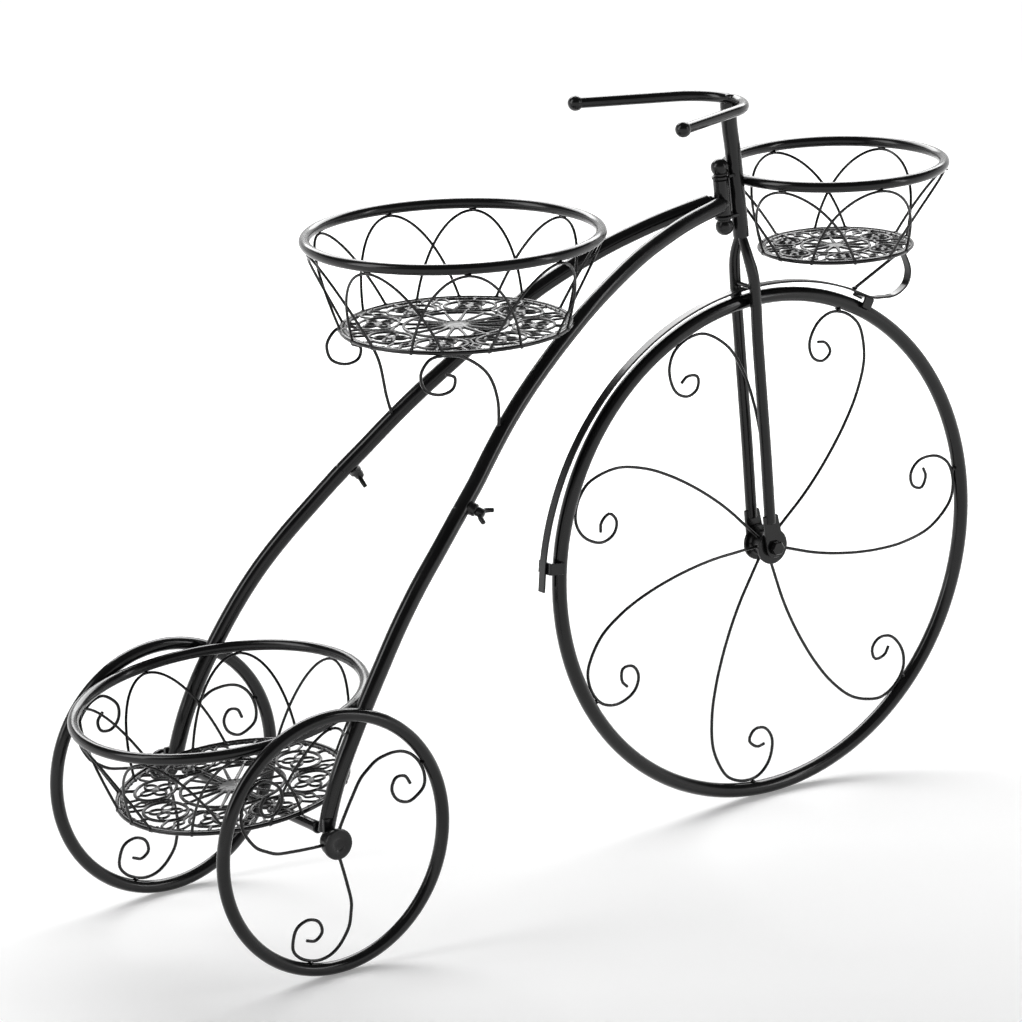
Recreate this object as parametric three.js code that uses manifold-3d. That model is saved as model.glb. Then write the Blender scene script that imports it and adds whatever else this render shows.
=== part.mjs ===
// Bicycle planter: a painted steel tricycle that carries three wire flower baskets.
// Millimetres, +Z up, +X forward. Y = 0 is the middle plane, and the right side is at -Y.
// Every tube diameter is outside, and every wheel or basket radius is to the tube's centre-line.

import * as THREE from 'three';
import { mergeVertices } from 'three/addons/utils/BufferGeometryUtils.js';
import Module from 'manifold-3d';

const wasm = await Module();
wasm.setup();

// Fits

const weldGap = 0.3;
const slideGap = 0.3;
const wheelRunGap = 0.5;
const wheelPlay = 0.7;
const mergeDistance = 0.0001;
const tidyDistance = 0.01;
const solidLap = 1;

// Whole machine

const wheelbase = 588;
const middleAheadOfRearAxle = 338;

// Rear wheels

const rearWheelRadius = 114.5;
const rearRimDiameter = 12;
const rearWheelOffset = 140.5;
const rearHubDiameter = 24;
const rearHubOutside = 3;
const rearHubInside = 4;
const rearHubCollarDiameter = 16;
const rearBoltDiameter = 6.4;
const rearBoltHeadDiameter = 28;
const rearBoltHeadHeight = 4.5;
const rearBoltTipLength = 2.5;
const rearSpokeDiameter = 3;
const rearSpokeTurnAngle = 57.6;
const rearSpokeAngles = { right: [29.5, -106.5, 146], left: [139.5, 23.5, -110.5] };
const rearSpokeShares = [
  [0.2, 0.573], [0.395, 0.555], [0.565, 0.533], [0.659, 0.483], [0.753, 0.43], [0.828, 0.36],
  [0.894, 0.29], [0.95, 0.21], [0.988, 0.11], [1, 0], [0.988, -0.11], [0.95, -0.195], [0.88, -0.24],
  [0.763, -0.262], [0.67, -0.158], [0.67, 0.004], [0.755, 0.076], [0.828, 0.012], [0.838, -0.089],
];

// Front wheel

const frontWheelRadius = 240;
const frontRimDiameter = 14;
const frontHubLength = 24;
const frontHubFlangeDiameter = 34;
const frontHubFlangeThickness = 3;
const frontHubBarrelDiameter = 22;
const hubBushWall = 2;
const frontAxleDiameter = 8;
const frontSpokeDiameter = 3;
const frontSpokeTurnAngle = 47.5;
const frontSpokeAngles = [66.6, 7.9, -45.2, -95.3, -150.7, 162.4, 115];
const frontSpokeShares = [
  [0.147, -0.565], [0.26, -0.558], [0.368, -0.526], [0.48, -0.487], [0.607, -0.44], [0.737, -0.383],
  [0.867, -0.303], [0.954, -0.206], [0.985, -0.15], [1, -0.06], [0.985, 0.035], [0.93, 0.105],
  [0.84, 0.13], [0.786, 0.075], [0.7855, -0.007], [0.83, -0.042], [0.86, 0.019], [0.8535, 0.069],
];
const spokeFootShare = 0.9;

// Stays: each side is a lower tube whose thinner top slides up into the bored end of an upper tube

const stayDiameter = 15;
const stayFootOffset = 125.5;
const stayHeadOffset = 8.2;
const stayHeadHeight = 586;
const stayJointShare = 0.425;
const stayFootRise = 5.6;
const spigotLength = 34;
const spigotWall = 1.2;
const socketExtraDepth = 3;
const rearLugDiameter = 17;
const rearLugWidth = 10;
const rearLugHeight = 20;
const rearLugThickness = 3.5;
const crossTubeDiameter = 10;
const crossTubeRise = 7.6;
const stayShares = [
  [-0.004, 1, -0.021], [0, 1, 0], [0.009, 1, 0.042], [0.03, 0.997, 0.11], [0.065, 0.99, 0.189],
  [0.123, 0.957, 0.295], [0.172, 0.909, 0.372], [0.218, 0.856, 0.432], [0.268, 0.799, 0.489],
  [0.318, 0.737, 0.545], [0.365, 0.672, 0.595], [0.407, 0.604, 0.642], [0.453, 0.531, 0.69],
  [0.509, 0.453, 0.742], [0.581, 0.374, 0.803], [0.671, 0.286, 0.87], [0.781, 0.168, 0.931],
  [0.8524, 0.1, 0.96], [0.908, 0.054, 0.978], [1, 0, 1],
];

// Wing screws that lock the sliding stays

const clampJointDistance = 9;
const clampBossDiameter = 12;
const clampBossHeight = 5;
const wingShankDiameter = 6;
const wingHubDiameter = 9;
const wingHubHeight = 8;
const wingSpan = 25;
const wingWidth = 5;
const wingThickness = 3.5;
const wingLift = 5;
const clampTurns = { right: -48, left: 4 };
const wingTurns = { right: 62, left: 20 };

// Head: the frame's sleeve stands between two lugs of the steerer, on one pin

const headLowerBackOffset = 39.5;
const headLowerZ = 561.2;
const headUpperBackOffset = 43.5;
const headUpperZ = 617.2;
const headSleeveDiameter = 15;
const headSleeveLength = 34;
const headPinDiameter = 8;
const lugThickness = 3;
const headCapDiameter = 17;
const pinIntoCap = 6;
const steererDiameter = 15;
const steererBottomZ = 549;
const steererBottomBackOffset = 20.6;
const steererTopBackOffset = 32.3;
const steererTopDrop = 1.5;
const steererHeadHeight = 24;
const steererLineHeight = 64.8;
const steererShares = [[0, 0], [0.1, 0.074], [0.24, 0.222], [0.42, 0.4], [0.65, 0.68], [0.8, 0.9], [1, 1]];

// Fork

const bladeDiameter = 11;
const bladeOffset = 14.3;
const crownBackOffset = 21;
const crownZ = 547.5;
const bladeShares = [
  [0, 0, 0.2], [0.058, 0.03, 0.7], [0.123, 0.15, 1], [0.33, 0.31, 1], [0.51, 0.467, 1],
  [0.673, 0.61, 1], [0.857, 0.738, 1], [0.915, 0.78, 1],
];
const dropoutThickness = 3.5;
const dropoutWidth = 20;
const dropoutTopWidth = 16;
const dropoutHeight = 32;
const axleNutWidth = 14;
const axleNutThickness = 5;

// Handlebar

const barDiameter = 10;
const barBendRadius = 51;
const barBendAngle = 68;
const barLegLength = 91.4;
const barHeight = 679;
const barAheadOffset = 5;
const barRiseAngle = 0.7;
const barBallDiameter = 14.5;
const barIntoBall = 5;

// Fender

const fenderRadius = 256;
const fenderThickness = 2;
const fenderWidth = 9;
const fenderRearAngle = 179;
const fenderFrontAngle = 58.5;
const fenderFacets = 18;
const fenderShares = [
  [0, 1.016], [0.158, 1.005], [0.324, 0.995], [0.49, 0.9885], [0.573, 0.986], [0.656, 0.984], [0.76, 0.984],
  [0.938, 0.992], [1, 0.998],
];
const curlShares = [
  [0.333, -0.024], [0.79, -0.037], [1.145, 0.024], [1.417, 0.145], [1.514, 0.353], [1.388, 0.579],
  [1.18, 0.785],
];
const clipLength = 11;
const clipThickness = 2;
const clipRimReach = 2;
const clipRimGap = 1;
const clipSlack = 0.3;
const clipAngles = { front: 60.6, rear: 174 };
const bridgeDiameter = 4;
const braceDiameter = 3.2;
const braceFoot = 64.2;
const braceCurlShare = 0.8;

// Baskets: rim tube, a cage of crossing wire arches on a base ring, and a lattice floor

const basketRimDiameter = 10;
const cageWireDiameter = 2.6;
const baseRingDiameter = 4;
const archSpread = 0.7;
const archPower = 1.9;
const floorThickness = 2;
const floorStripWidth = 2.4;
const middleBasket = {
  rimRadius: 133, baseRadius: 104, height: 82, arches: 9, turn: 1, flowers: 7, bars: 14, tilt: 0,
};
const frontBasket = {
  rimRadius: 103, baseRadius: 72, height: 78.5, arches: 6, turn: 22.7, flowers: 6, bars: 12, tilt: 0,
};
const lowerBasket = {
  rimRadius: 130.5, baseRadius: 104, height: 82, arches: 9, turn: 5, flowers: 7, bars: 14, tilt: 6.8,
};
const middleBasketX = 244;
const frontBasketRimZ = 600.5;
const lowerBasketX = -24.5;
const lowerBasketRimZ = 221.5;
const supportDiameter = 3;
const supportAcrossShare = 0.7212;
const supportRise = 75;
const supportCurlShares = [
  [-0.107, -0.012], [-0.243, -0.169], [-0.195, -0.36], [0.015, -0.457], [0.203, -0.417],
  [0.237, -0.289], [0.12, -0.229],
];
const supportFootShares = { right: 0.531, left: 0.51 };
const supportLegShares = {
  right: [[0.833, -0.64], [0.696, -0.309], [0.355, -0.056], [0.107, 0]],
  left: [[0.587, -0.973], [0.48, -0.467], [0.267, -0.107], [0.08, 0]],
};

// Facets

const tubeSides = 10;
const boreSides = 12;
const wheelFacets = 48;
const rearWheelFacets = 36;
const basketFacets = 30;
const rimSides = 6;
const wireFacets = 4;

// Worked-out places

const rearAxleZ = rearWheelRadius + rearRimDiameter / 2;
const frontAxleZ = frontWheelRadius + frontRimDiameter / 2;
const stayRadius = stayDiameter / 2;
const headLowerX = wheelbase - headLowerBackOffset;
const headUpperX = wheelbase - headUpperBackOffset;
const steererBottomX = wheelbase - steererBottomBackOffset;
const steererTopX = wheelbase - steererTopBackOffset;
const steererTopZ = Math.max(barHeight - steererTopDrop, headUpperZ + steererHeadHeight);
const crownX = wheelbase - crownBackOffset;
const supportOffset = supportAcrossShare * middleBasket.baseRadius;
const headUpShare = (stayHeadHeight - headLowerZ) / (headUpperZ - headLowerZ);
const headX = headLowerX + (headUpperX - headLowerX) * headUpShare;
const headLower = new THREE.Vector3(headLowerX, 0, headLowerZ);
const headUpper = new THREE.Vector3(headUpperX, 0, headUpperZ);
const headMiddle = headLower.clone().lerp(headUpper, 1 / 2);
const headAxis = headUpper.clone().sub(headLower).normalize();
const sides = { right: -1, left: 1 };

const paint = { color: 0x0b0b0c, roughness: 0.28, metalness: 0.35 };
const wirePaint = { color: 0x0d0d0e, roughness: 0.34, metalness: 0.35 };
const bushMetal = { color: 0x6d6a62, roughness: 0.4, metalness: 0.9 };

// Solids

function radians(degrees) {
  return THREE.MathUtils.degToRad(degrees);
}

function solidOf(geometry) {
  const bare = geometry.clone();
  bare.deleteAttribute('normal');
  bare.deleteAttribute('uv');
  const merged = mergeVertices(bare, mergeDistance);
  const corners = merged.index.array;
  const kept = [];
  for (let i = 0; i < corners.length; i += 3) {
    const [a, b, c] = [corners[i], corners[i + 1], corners[i + 2]];
    if (a !== b && b !== c && c !== a) kept.push(a, b, c);
  }
  return new wasm.Manifold(new wasm.Mesh({
    numProp: 3,
    vertProperties: new Float32Array(merged.attributes.position.array),
    triVerts: new Uint32Array(kept),
  }));
}

function geometryOf(solid) {
  const mesh = solid.asOriginal().simplify(tidyDistance).getMesh();
  const geometry = new THREE.BufferGeometry();
  geometry.setAttribute('position', new THREE.BufferAttribute(new Float32Array(mesh.vertProperties), 3));
  geometry.setIndex(new THREE.BufferAttribute(new Uint32Array(mesh.triVerts), 1));
  geometry.computeVertexNormals();
  return geometry;
}

function largest(solid) {
  const pieces = solid.decompose();
  pieces.sort((a, b) => b.volume() - a.volume());
  return pieces[0];
}

function joined(solids) {
  return solids.reduce((whole, next) => whole.add(next));
}

function sectionShape(radius, count) {
  const corners = [];
  for (let i = 0; i < count; i += 1) {
    const angle = 2 * Math.PI * (count > wireFacets ? i + 1 / 2 : i) / count;
    corners.push(new THREE.Vector2(radius * Math.cos(angle), radius * Math.sin(angle)));
  }
  return new THREE.Shape(corners);
}

// A curve whose steps fall evenly between its control points, so close points get short steps.
class StepCurve extends THREE.CatmullRomCurve3 {
  getUtoTmapping(u) {
    return u;
  }
}

function sweep(shape, points, steps) {
  const path = new StepCurve(points, false, 'centripetal');
  return new THREE.ExtrudeGeometry(shape, { steps, extrudePath: path, bevelEnabled: false });
}

function tube(points, diameter, count = tubeSides, steps = points.length - 1) {
  return sweep(sectionShape(diameter / 2, count), points, steps);
}

// A cutting tube whose flats, not its corners, lie on the given diameter.
function cutter(points, diameter, count = boreSides) {
  return tube(points, diameter / Math.cos(Math.PI / count), count);
}

function rod(from, to, diameter, count = tubeSides) {
  const length = from.distanceTo(to);
  const geometry = new THREE.CylinderGeometry(diameter / 2, diameter / 2, length, count);
  const turn = new THREE.Quaternion().setFromUnitVectors(
    new THREE.Vector3(0, 1, 0), to.clone().sub(from).normalize());
  geometry.applyQuaternion(turn);
  geometry.translate(...from.clone().lerp(to, 1 / 2).toArray());
  return geometry;
}

function bore(from, to, diameter, count = boreSides) {
  return rod(from, to, diameter / Math.cos(Math.PI / count), count);
}

function ring(radius, diameter, facets, count = rimSides) {
  return new THREE.TorusGeometry(radius, diameter / 2, count, facets);
}

function innerReach(radius, diameter, facets) {
  return (radius - diameter / 2) * Math.cos(Math.PI / facets);
}

function ball(centre, diameter) {
  const geometry = new THREE.SphereGeometry(diameter / 2, 10, 6);
  geometry.rotateX(Math.PI / 2);
  geometry.translate(...centre.toArray());
  return geometry;
}

function mesh(name, geometry, finish = paint) {
  const node = new THREE.Mesh(geometry, new THREE.MeshStandardMaterial(finish));
  node.name = name;
  return node;
}

function group(nodes, x = 0, y = 0, z = 0) {
  const holder = new THREE.Group();
  holder.add(...nodes);
  holder.position.set(x, y, z);
  return holder;
}

// Curves that pieces share

function stayCurve(side) {
  const points = stayShares.map(([forward, out, up]) => new THREE.Vector3(
    forward * headX,
    sides[side] * (stayHeadOffset + (stayFootOffset - stayHeadOffset) * out),
    rearAxleZ + (stayHeadHeight - rearAxleZ) * up));
  return new THREE.CatmullRomCurve3(points, false, 'centripetal');
}

function stretch(curve, from, to, count) {
  const points = [];
  for (let i = 0; i <= count; i += 1) points.push(curve.getPointAt(from + (to - from) * i / count));
  return points;
}

function steererPoints() {
  const line = steererShares.map(([up, back]) => new THREE.Vector3(
    steererBottomX + (steererTopX - steererBottomX) * back, 0,
    steererBottomZ + (headUpperZ + steererLineHeight - steererBottomZ) * up));
  const kept = line.slice(0, -1).filter((point) => point.z < steererTopZ - steererTopDrop);
  const low = kept[kept.length - 1];
  const high = line[kept.length];
  return [...kept, low.clone().lerp(high, (steererTopZ - low.z) / (high.z - low.z))];
}

function steererAt(z) {
  const points = steererPoints();
  const found = points.findIndex((point) => point.z >= z);
  const above = found < 1 ? points.length - 1 : found;
  const [low, high] = [points[above - 1], points[above]];
  return low.clone().lerp(high, (z - low.z) / (high.z - low.z));
}

function bladePoints(side) {
  return bladeShares.map(([down, forward, out]) => new THREE.Vector3(
    crownX + (wheelbase - crownX) * forward,
    sides[side] * bladeOffset * out,
    crownZ + (frontAxleZ - crownZ) * down));
}

function alongHead(distance) {
  return headMiddle.clone().addScaledVector(headAxis, distance);
}

// Wheels

function wheelRim(radius, diameter, facets) {
  return ring(radius, diameter, facets).rotateX(Math.PI / 2);
}

function spoke(shares, turn, hubRadius, touchRadius, diameter) {
  const polar = [[hubRadius * spokeFootShare, shares[0][1] * turn]];
  shares.forEach(([out, around]) => polar.push([out * touchRadius, around * turn]));
  const points = polar.map(([radius, degrees]) => new THREE.Vector3(
    radius * Math.cos(radians(degrees)), 0, radius * Math.sin(radians(degrees))));
  const wire = solidOf(tube(points, diameter, wireFacets, 2 * (points.length - 1)));
  const [from, to] = [-1, 1].map((way) => new THREE.Vector3(0, way * hubRadius, 0));
  const hub = bore(from, to, 2 * (hubRadius + weldGap), 20);
  return geometryOf(largest(wire.subtract(solidOf(hub))));
}

function turned(node, degrees) {
  node.rotation.y = -radians(degrees);
  return node;
}

function lathe(profile, count) {
  const points = profile.map(([radius, along]) => new THREE.Vector2(radius, along));
  return new THREE.LatheGeometry([...points, points[0].clone()], count);
}

function frontHub() {
  const half = frontHubLength / 2;
  const flange = frontHubFlangeDiameter / 2;
  const barrel = frontHubBarrelDiameter / 2;
  const inner = (frontAxleDiameter / 2 + wheelRunGap + hubBushWall + weldGap) / Math.cos(Math.PI / 20);
  const shoulder = half - frontHubFlangeThickness;
  const profile = [[inner, -half], [flange, -half], [flange, -shoulder], [barrel, -shoulder + weldGap],
    [barrel, shoulder - weldGap], [flange, shoulder], [flange, half], [inner, half]];
  return lathe(profile, 20);
}

function frontBush() {
  const half = frontHubLength / 2;
  const inner = (frontAxleDiameter / 2 + wheelRunGap) / Math.cos(Math.PI / 16);
  const outer = frontAxleDiameter / 2 + wheelRunGap + hubBushWall;
  return lathe([[inner, -half], [outer, -half], [outer, half], [inner, half]], 16);
}

function frontWheel() {
  const inner = innerReach(frontWheelRadius, frontRimDiameter, wheelFacets);
  const touch = inner - weldGap - frontSpokeDiameter / 2;
  const nodes = [
    mesh('front_wheel_rim', wheelRim(frontWheelRadius, frontRimDiameter, wheelFacets)),
    mesh('front_hub', frontHub()),
    mesh('front_hub_bush', frontBush(), bushMetal),
  ];
  frontSpokeAngles.forEach((angle, i) => {
    const geometry = spoke(
      frontSpokeShares, frontSpokeTurnAngle, frontHubBarrelDiameter / 2, touch, frontSpokeDiameter);
    nodes.push(turned(mesh(`front_spoke_${i + 1}`, geometry, wirePaint), angle));
  });
  return group(nodes, wheelbase, 0, frontAxleZ);
}

function rearHub(side) {
  const inner = (rearBoltDiameter / 2 + wheelRunGap) / Math.cos(Math.PI / 16);
  const outer = rearHubDiameter / 2;
  const collar = rearHubCollarDiameter / 2;
  const inward = rearWheelOffset - stayFootOffset - stayRadius - wheelRunGap;
  const profile = [[inner, -inward], [collar, -inward], [collar, -rearHubInside], [outer, -rearHubInside],
    [outer, rearHubOutside], [inner, rearHubOutside]];
  const geometry = lathe(profile, 16);
  if (side === 'right') geometry.rotateX(Math.PI);
  return geometry;
}

function rearWheel(side) {
  const inner = innerReach(rearWheelRadius, rearRimDiameter, rearWheelFacets);
  const touch = inner - weldGap - rearSpokeDiameter / 2;
  const nodes = [
    mesh(`rear_wheel_rim_${side}`, wheelRim(rearWheelRadius, rearRimDiameter, rearWheelFacets)),
    mesh(`rear_hub_${side}`, rearHub(side)),
  ];
  rearSpokeAngles[side].forEach((angle, i) => {
    const geometry = spoke(
      rearSpokeShares, rearSpokeTurnAngle, rearHubDiameter / 2, touch, rearSpokeDiameter);
    nodes.push(turned(mesh(`rear_spoke_${side}_${i + 1}`, geometry, wirePaint), angle));
  });
  return group(nodes, 0, sides[side] * rearWheelOffset, rearAxleZ);
}

function rearBolt(side) {
  const face = rearWheelOffset + rearHubOutside + wheelRunGap;
  const tip = stayFootOffset + stayRadius - rearLugThickness - rearBoltTipLength;
  const head = rearBoltHeadDiameter / 2;
  const shank = rearBoltDiameter / 2;
  const profile = [[0, tip], [shank, tip], [shank, face], [head, face],
    [head, face + rearBoltHeadHeight * 0.7], [head * 0.9, face + rearBoltHeadHeight],
    [0, face + rearBoltHeadHeight]];
  const points = profile.map(([radius, along]) => new THREE.Vector2(radius, along));
  const geometry = new THREE.LatheGeometry(points, 16);
  if (side === 'right') geometry.rotateX(Math.PI);
  geometry.translate(0, 0, rearAxleZ);
  return geometryOf(solidOf(geometry));
}

// Frame

function clampFrame(side) {
  const curve = stayCurve(side);
  const share = stayJointShare + clampJointDistance / curve.getLength();
  const origin = curve.getPointAt(share);
  const along = curve.getTangentAt(share);
  const level = new THREE.Vector3(0, 1, 0).addScaledVector(along, -along.y).normalize();
  const forwardDown = new THREE.Vector3().crossVectors(along, level).normalize();
  if (forwardDown.z > 0) forwardDown.negate();
  const out = forwardDown.applyAxisAngle(along, radians(clampTurns[side]));
  const across = new THREE.Vector3().crossVectors(along, out).normalize();
  const turn = new THREE.Matrix4().makeBasis(across, along, out).setPosition(origin);
  return { origin, out, turn };
}

// The socket and the spigot follow one line, so their clearance is the same all along.
function socketLine(side) {
  const curve = stayCurve(side);
  const depth = (spigotLength + socketExtraDepth) / curve.getLength();
  return stretch(curve, stayJointShare - depth / 4, stayJointShare + depth, 5);
}

function stayTube(side, part, diameter) {
  const overlap = 0.01;
  const curve = stayCurve(side);
  const points = part === 'upper'
    ? stretch(curve, stayJointShare - overlap, 1, 13)
    : stretch(curve, 0, stayJointShare + overlap, 12);
  return solidOf(tube(points, diameter));
}

// The stay swollen by the weld gap on every flat, for cutting what is welded to it.
function stayEnvelope(side, part) {
  return stayTube(side, part, stayDiameter + 2 * weldGap / Math.cos(Math.PI / tubeSides));
}

function stayJointPlane(side) {
  const curve = stayCurve(side);
  const along = curve.getTangentAt(stayJointShare);
  return { along, offset: curve.getPointAt(stayJointShare).dot(along) };
}

function clampHole(side) {
  const { origin, out } = clampFrame(side);
  const far = origin.clone().addScaledVector(out, 2 * stayDiameter);
  return bore(origin, far, wingShankDiameter + 2 * slideGap);
}

function upperStay(side) {
  const { along, offset } = stayJointPlane(side);
  const headLine = [alongHead(-headSleeveLength), alongHead(headSleeveLength)];
  const sleeve = cutter(headLine, headSleeveDiameter + 2 * weldGap, 16);
  const socket = cutter(socketLine(side), stayDiameter - 2 * spigotWall);
  const whole = stayTube(side, 'upper', stayDiameter)
    .trimByPlane(along.toArray(), offset + weldGap)
    .subtract(solidOf(socket))
    .subtract(solidOf(clampHole(side)))
    .subtract(solidOf(sleeve));
  return geometryOf(largest(whole));
}

// The flat lug that hangs from a stay's cut foot and carries the wheel's bolt.
function rearLug(side) {
  const outside = sides[side] * (stayFootOffset + stayRadius);
  const inside = outside - sides[side] * rearLugThickness;
  const eye = rod(
    new THREE.Vector3(0, inside, rearAxleZ), new THREE.Vector3(0, outside, rearAxleZ), rearLugDiameter, 16);
  const tongue = new THREE.BoxGeometry(rearLugWidth, rearLugThickness, rearLugHeight);
  tongue.translate(0, (inside + outside) / 2, rearAxleZ + rearLugHeight / 2);
  return solidOf(eye).add(solidOf(tongue));
}

function lowerStay(side) {
  const { along, offset } = stayJointPlane(side);
  const line = socketLine(side);
  const last = line.length - 1;
  const unused = socketExtraDepth / line[last].distanceTo(line[last - 1]);
  line[last].lerp(line[last - 1], unused);
  const spigot = tube(line, stayDiameter - 2 * spigotWall - 2 * slideGap, boreSides);
  const axle = new THREE.Vector3(0, sides[side] * (stayFootOffset - 2 * stayRadius), rearAxleZ);
  const outside = new THREE.Vector3(0, sides[side] * (stayFootOffset + 2 * stayRadius), rearAxleZ);
  const whole = stayTube(side, 'lower', stayDiameter)
    .trimByPlane(along.clone().negate().toArray(), -offset)
    .trimByPlane([0, 0, 1], rearAxleZ + stayFootRise)
    .add(solidOf(spigot))
    .add(rearLug(side))
    .subtract(solidOf(bore(axle, outside, rearBoltDiameter + 2 * slideGap)));
  return geometryOf(whole);
}

function clampBoss(side) {
  const { origin, out } = clampFrame(side);
  const top = origin.clone().addScaledVector(out, stayRadius + clampBossHeight);
  const whole = solidOf(rod(origin, top, clampBossDiameter, 12))
    .subtract(stayEnvelope(side, 'upper'))
    .subtract(solidOf(clampHole(side)));
  return geometryOf(largest(whole));
}

function wingScrew(side) {
  const { turn } = clampFrame(side);
  const tip = stayRadius - spigotWall;
  const seat = stayRadius + clampBossHeight + weldGap;
  const top = seat + wingHubHeight;
  const upright = (from, to, diameter, count) => rod(
    new THREE.Vector3(0, 0, from), new THREE.Vector3(0, 0, to), diameter, count);
  const parts = [upright(tip, seat + solidLap, wingShankDiameter, 8), upright(seat, top, wingHubDiameter, 8)];
  [-1, 1].forEach((way) => {
    const outline = new THREE.Shape([
      new THREE.Vector2(0, seat + wingHubHeight * 0.35),
      new THREE.Vector2(wingSpan * 0.3, seat + wingHubHeight * 0.45),
      new THREE.Vector2(wingSpan * 0.5, top - wingWidth * 0.5 + wingLift),
      new THREE.Vector2(wingSpan * 0.46, top + wingLift),
      new THREE.Vector2(wingSpan * 0.3, top + wingLift * 0.7),
      new THREE.Vector2(0, top - wingHubHeight * 0.2),
    ]);
    const ear = new THREE.ExtrudeGeometry(outline, { depth: wingThickness, bevelEnabled: false });
    ear.translate(0, 0, -wingThickness / 2);
    ear.rotateX(Math.PI / 2);
    ear.rotateZ(way < 0 ? Math.PI : 0);
    parts.push(ear);
  });
  const screw = geometryOf(joined(parts.map(solidOf)));
  screw.rotateZ(radians(wingTurns[side]));
  screw.applyMatrix4(turn);
  return screw;
}

function crossTube() {
  const z = rearAxleZ + crossTubeRise;
  const end = stayFootOffset;
  const along = rod(new THREE.Vector3(0, -end, z), new THREE.Vector3(0, end, z), crossTubeDiameter);
  let whole = solidOf(along);
  ['right', 'left'].forEach((side) => {
    whole = largest(whole.subtract(stayEnvelope(side, 'lower')));
  });
  return geometryOf(whole);
}

function headSleeve() {
  const half = headSleeveLength / 2;
  const pin = bore(alongHead(-headSleeveLength), alongHead(headSleeveLength), headPinDiameter + 2 * slideGap);
  const sleeve = rod(alongHead(-half), alongHead(half), headSleeveDiameter, 16);
  return geometryOf(solidOf(sleeve).subtract(solidOf(pin)));
}

function frame() {
  const nodes = [
    mesh('rear_cross_tube', crossTube()),
    mesh('head_sleeve', headSleeve()),
  ];
  Object.keys(sides).forEach((side) => {
    nodes.push(mesh(`lower_stay_${side}`, lowerStay(side)));
    nodes.push(mesh(`upper_stay_${side}`, upperStay(side)));
    nodes.push(mesh(`clamp_boss_${side}`, clampBoss(side)));
    nodes.push(mesh(`wing_screw_${side}`, wingScrew(side)));
    nodes.push(mesh(`rear_wheel_bolt_${side}`, rearBolt(side)));
  });
  return group(nodes);
}

// Steerer, head pin and fork

function lugBase() {
  return headSleeveLength / 2 + wheelPlay;
}

function lug(way) {
  const inner = lugBase();
  const outer = inner + lugThickness;
  const eye = rod(alongHead(way * inner), alongHead(way * outer), headCapDiameter, 16);
  const middle = alongHead(way * (inner + outer) / 2);
  const reach = steererAt(middle.z).x - middle.x;
  const tongue = new THREE.BoxGeometry(reach, headCapDiameter * 0.7, lugThickness);
  tongue.translate(reach / 2, 0, 0);
  tongue.rotateY(Math.asin(headAxis.x));
  tongue.translate(...middle.toArray());
  return solidOf(eye).add(solidOf(tongue));
}

function steerer() {
  const points = steererPoints();
  const reach = headSleeveLength;
  const pin = bore(alongHead(-reach), alongHead(reach), headPinDiameter + 2 * slideGap);
  const whole = solidOf(tube(points, steererDiameter, 12))
    .add(lug(1))
    .add(lug(-1))
    .subtract(solidOf(pin))
    .subtract(solidOf(cutter(barPoints(), barDiameter + 2 * weldGap)));
  return geometryOf(largest(whole));
}

function headPin() {
  const reach = lugBase() + lugThickness + pinIntoCap;
  return rod(alongHead(-reach), alongHead(reach), headPinDiameter, 10);
}

function headCap(way) {
  const seat = lugBase() + lugThickness + weldGap;
  const radius = headCapDiameter / 2;
  const centre = alongHead(way * (seat + radius * 0.85));
  const under = bore(alongHead(way * (seat - radius)), alongHead(way * seat), 2 * headCapDiameter, 8);
  const mouth = alongHead(way * (seat - solidLap));
  const end = alongHead(way * (seat + pinIntoCap));
  const well = bore(mouth, end, headPinDiameter + 2 * slideGap);
  return geometryOf(solidOf(ball(centre, headCapDiameter)).subtract(solidOf(under)).subtract(solidOf(well)));
}

function dropout(side) {
  const half = dropoutWidth / 2;
  const points = [];
  for (let i = 0; i <= 8; i += 1) {
    const angle = Math.PI + Math.PI * i / 8;
    points.push(new THREE.Vector2(wheelbase + half * Math.cos(angle), frontAxleZ + half * Math.sin(angle)));
  }
  const blade = bladePoints(side)[bladeShares.length - 1];
  points.push(new THREE.Vector2(blade.x + dropoutTopWidth / 2, frontAxleZ + dropoutHeight));
  points.push(new THREE.Vector2(blade.x - dropoutTopWidth / 2, frontAxleZ + dropoutHeight));
  const outline = new THREE.Shape(points);
  const plate = new THREE.ExtrudeGeometry(outline, { depth: dropoutThickness, bevelEnabled: false });
  plate.rotateX(Math.PI / 2);
  const inner = frontHubLength / 2 + wheelPlay;
  plate.translate(0, side === 'left' ? inner + dropoutThickness : -inner, 0);
  return plate;
}

function forkBlade(side) {
  const way = sides[side];
  const points = bladePoints(side);
  const far = crownZ * 2;
  const wall = new THREE.BoxGeometry(far, far, far);
  wall.translate(wheelbase, way * (weldGap / 2 - far / 2), crownZ);
  const bottom = steererPoints()[0];
  const envelopeLine = [bottom.clone().setZ(bottom.z - weldGap), ...steererPoints().slice(1)];
  const envelope = cutter(envelopeLine, steererDiameter + 2 * weldGap);
  const axle = bore(
    new THREE.Vector3(wheelbase, -far, frontAxleZ), new THREE.Vector3(wheelbase, far, frontAxleZ),
    frontAxleDiameter + 2 * slideGap);
  const whole = solidOf(tube(points, bladeDiameter, tubeSides, 12))
    .add(solidOf(dropout(side)))
    .subtract(solidOf(wall))
    .subtract(solidOf(envelope))
    .subtract(solidOf(axle));
  return geometryOf(largest(whole));
}

function axleFace() {
  return frontHubLength / 2 + wheelPlay + dropoutThickness + weldGap;
}

function onAxle(y) {
  return new THREE.Vector3(wheelbase, y, frontAxleZ);
}

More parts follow.
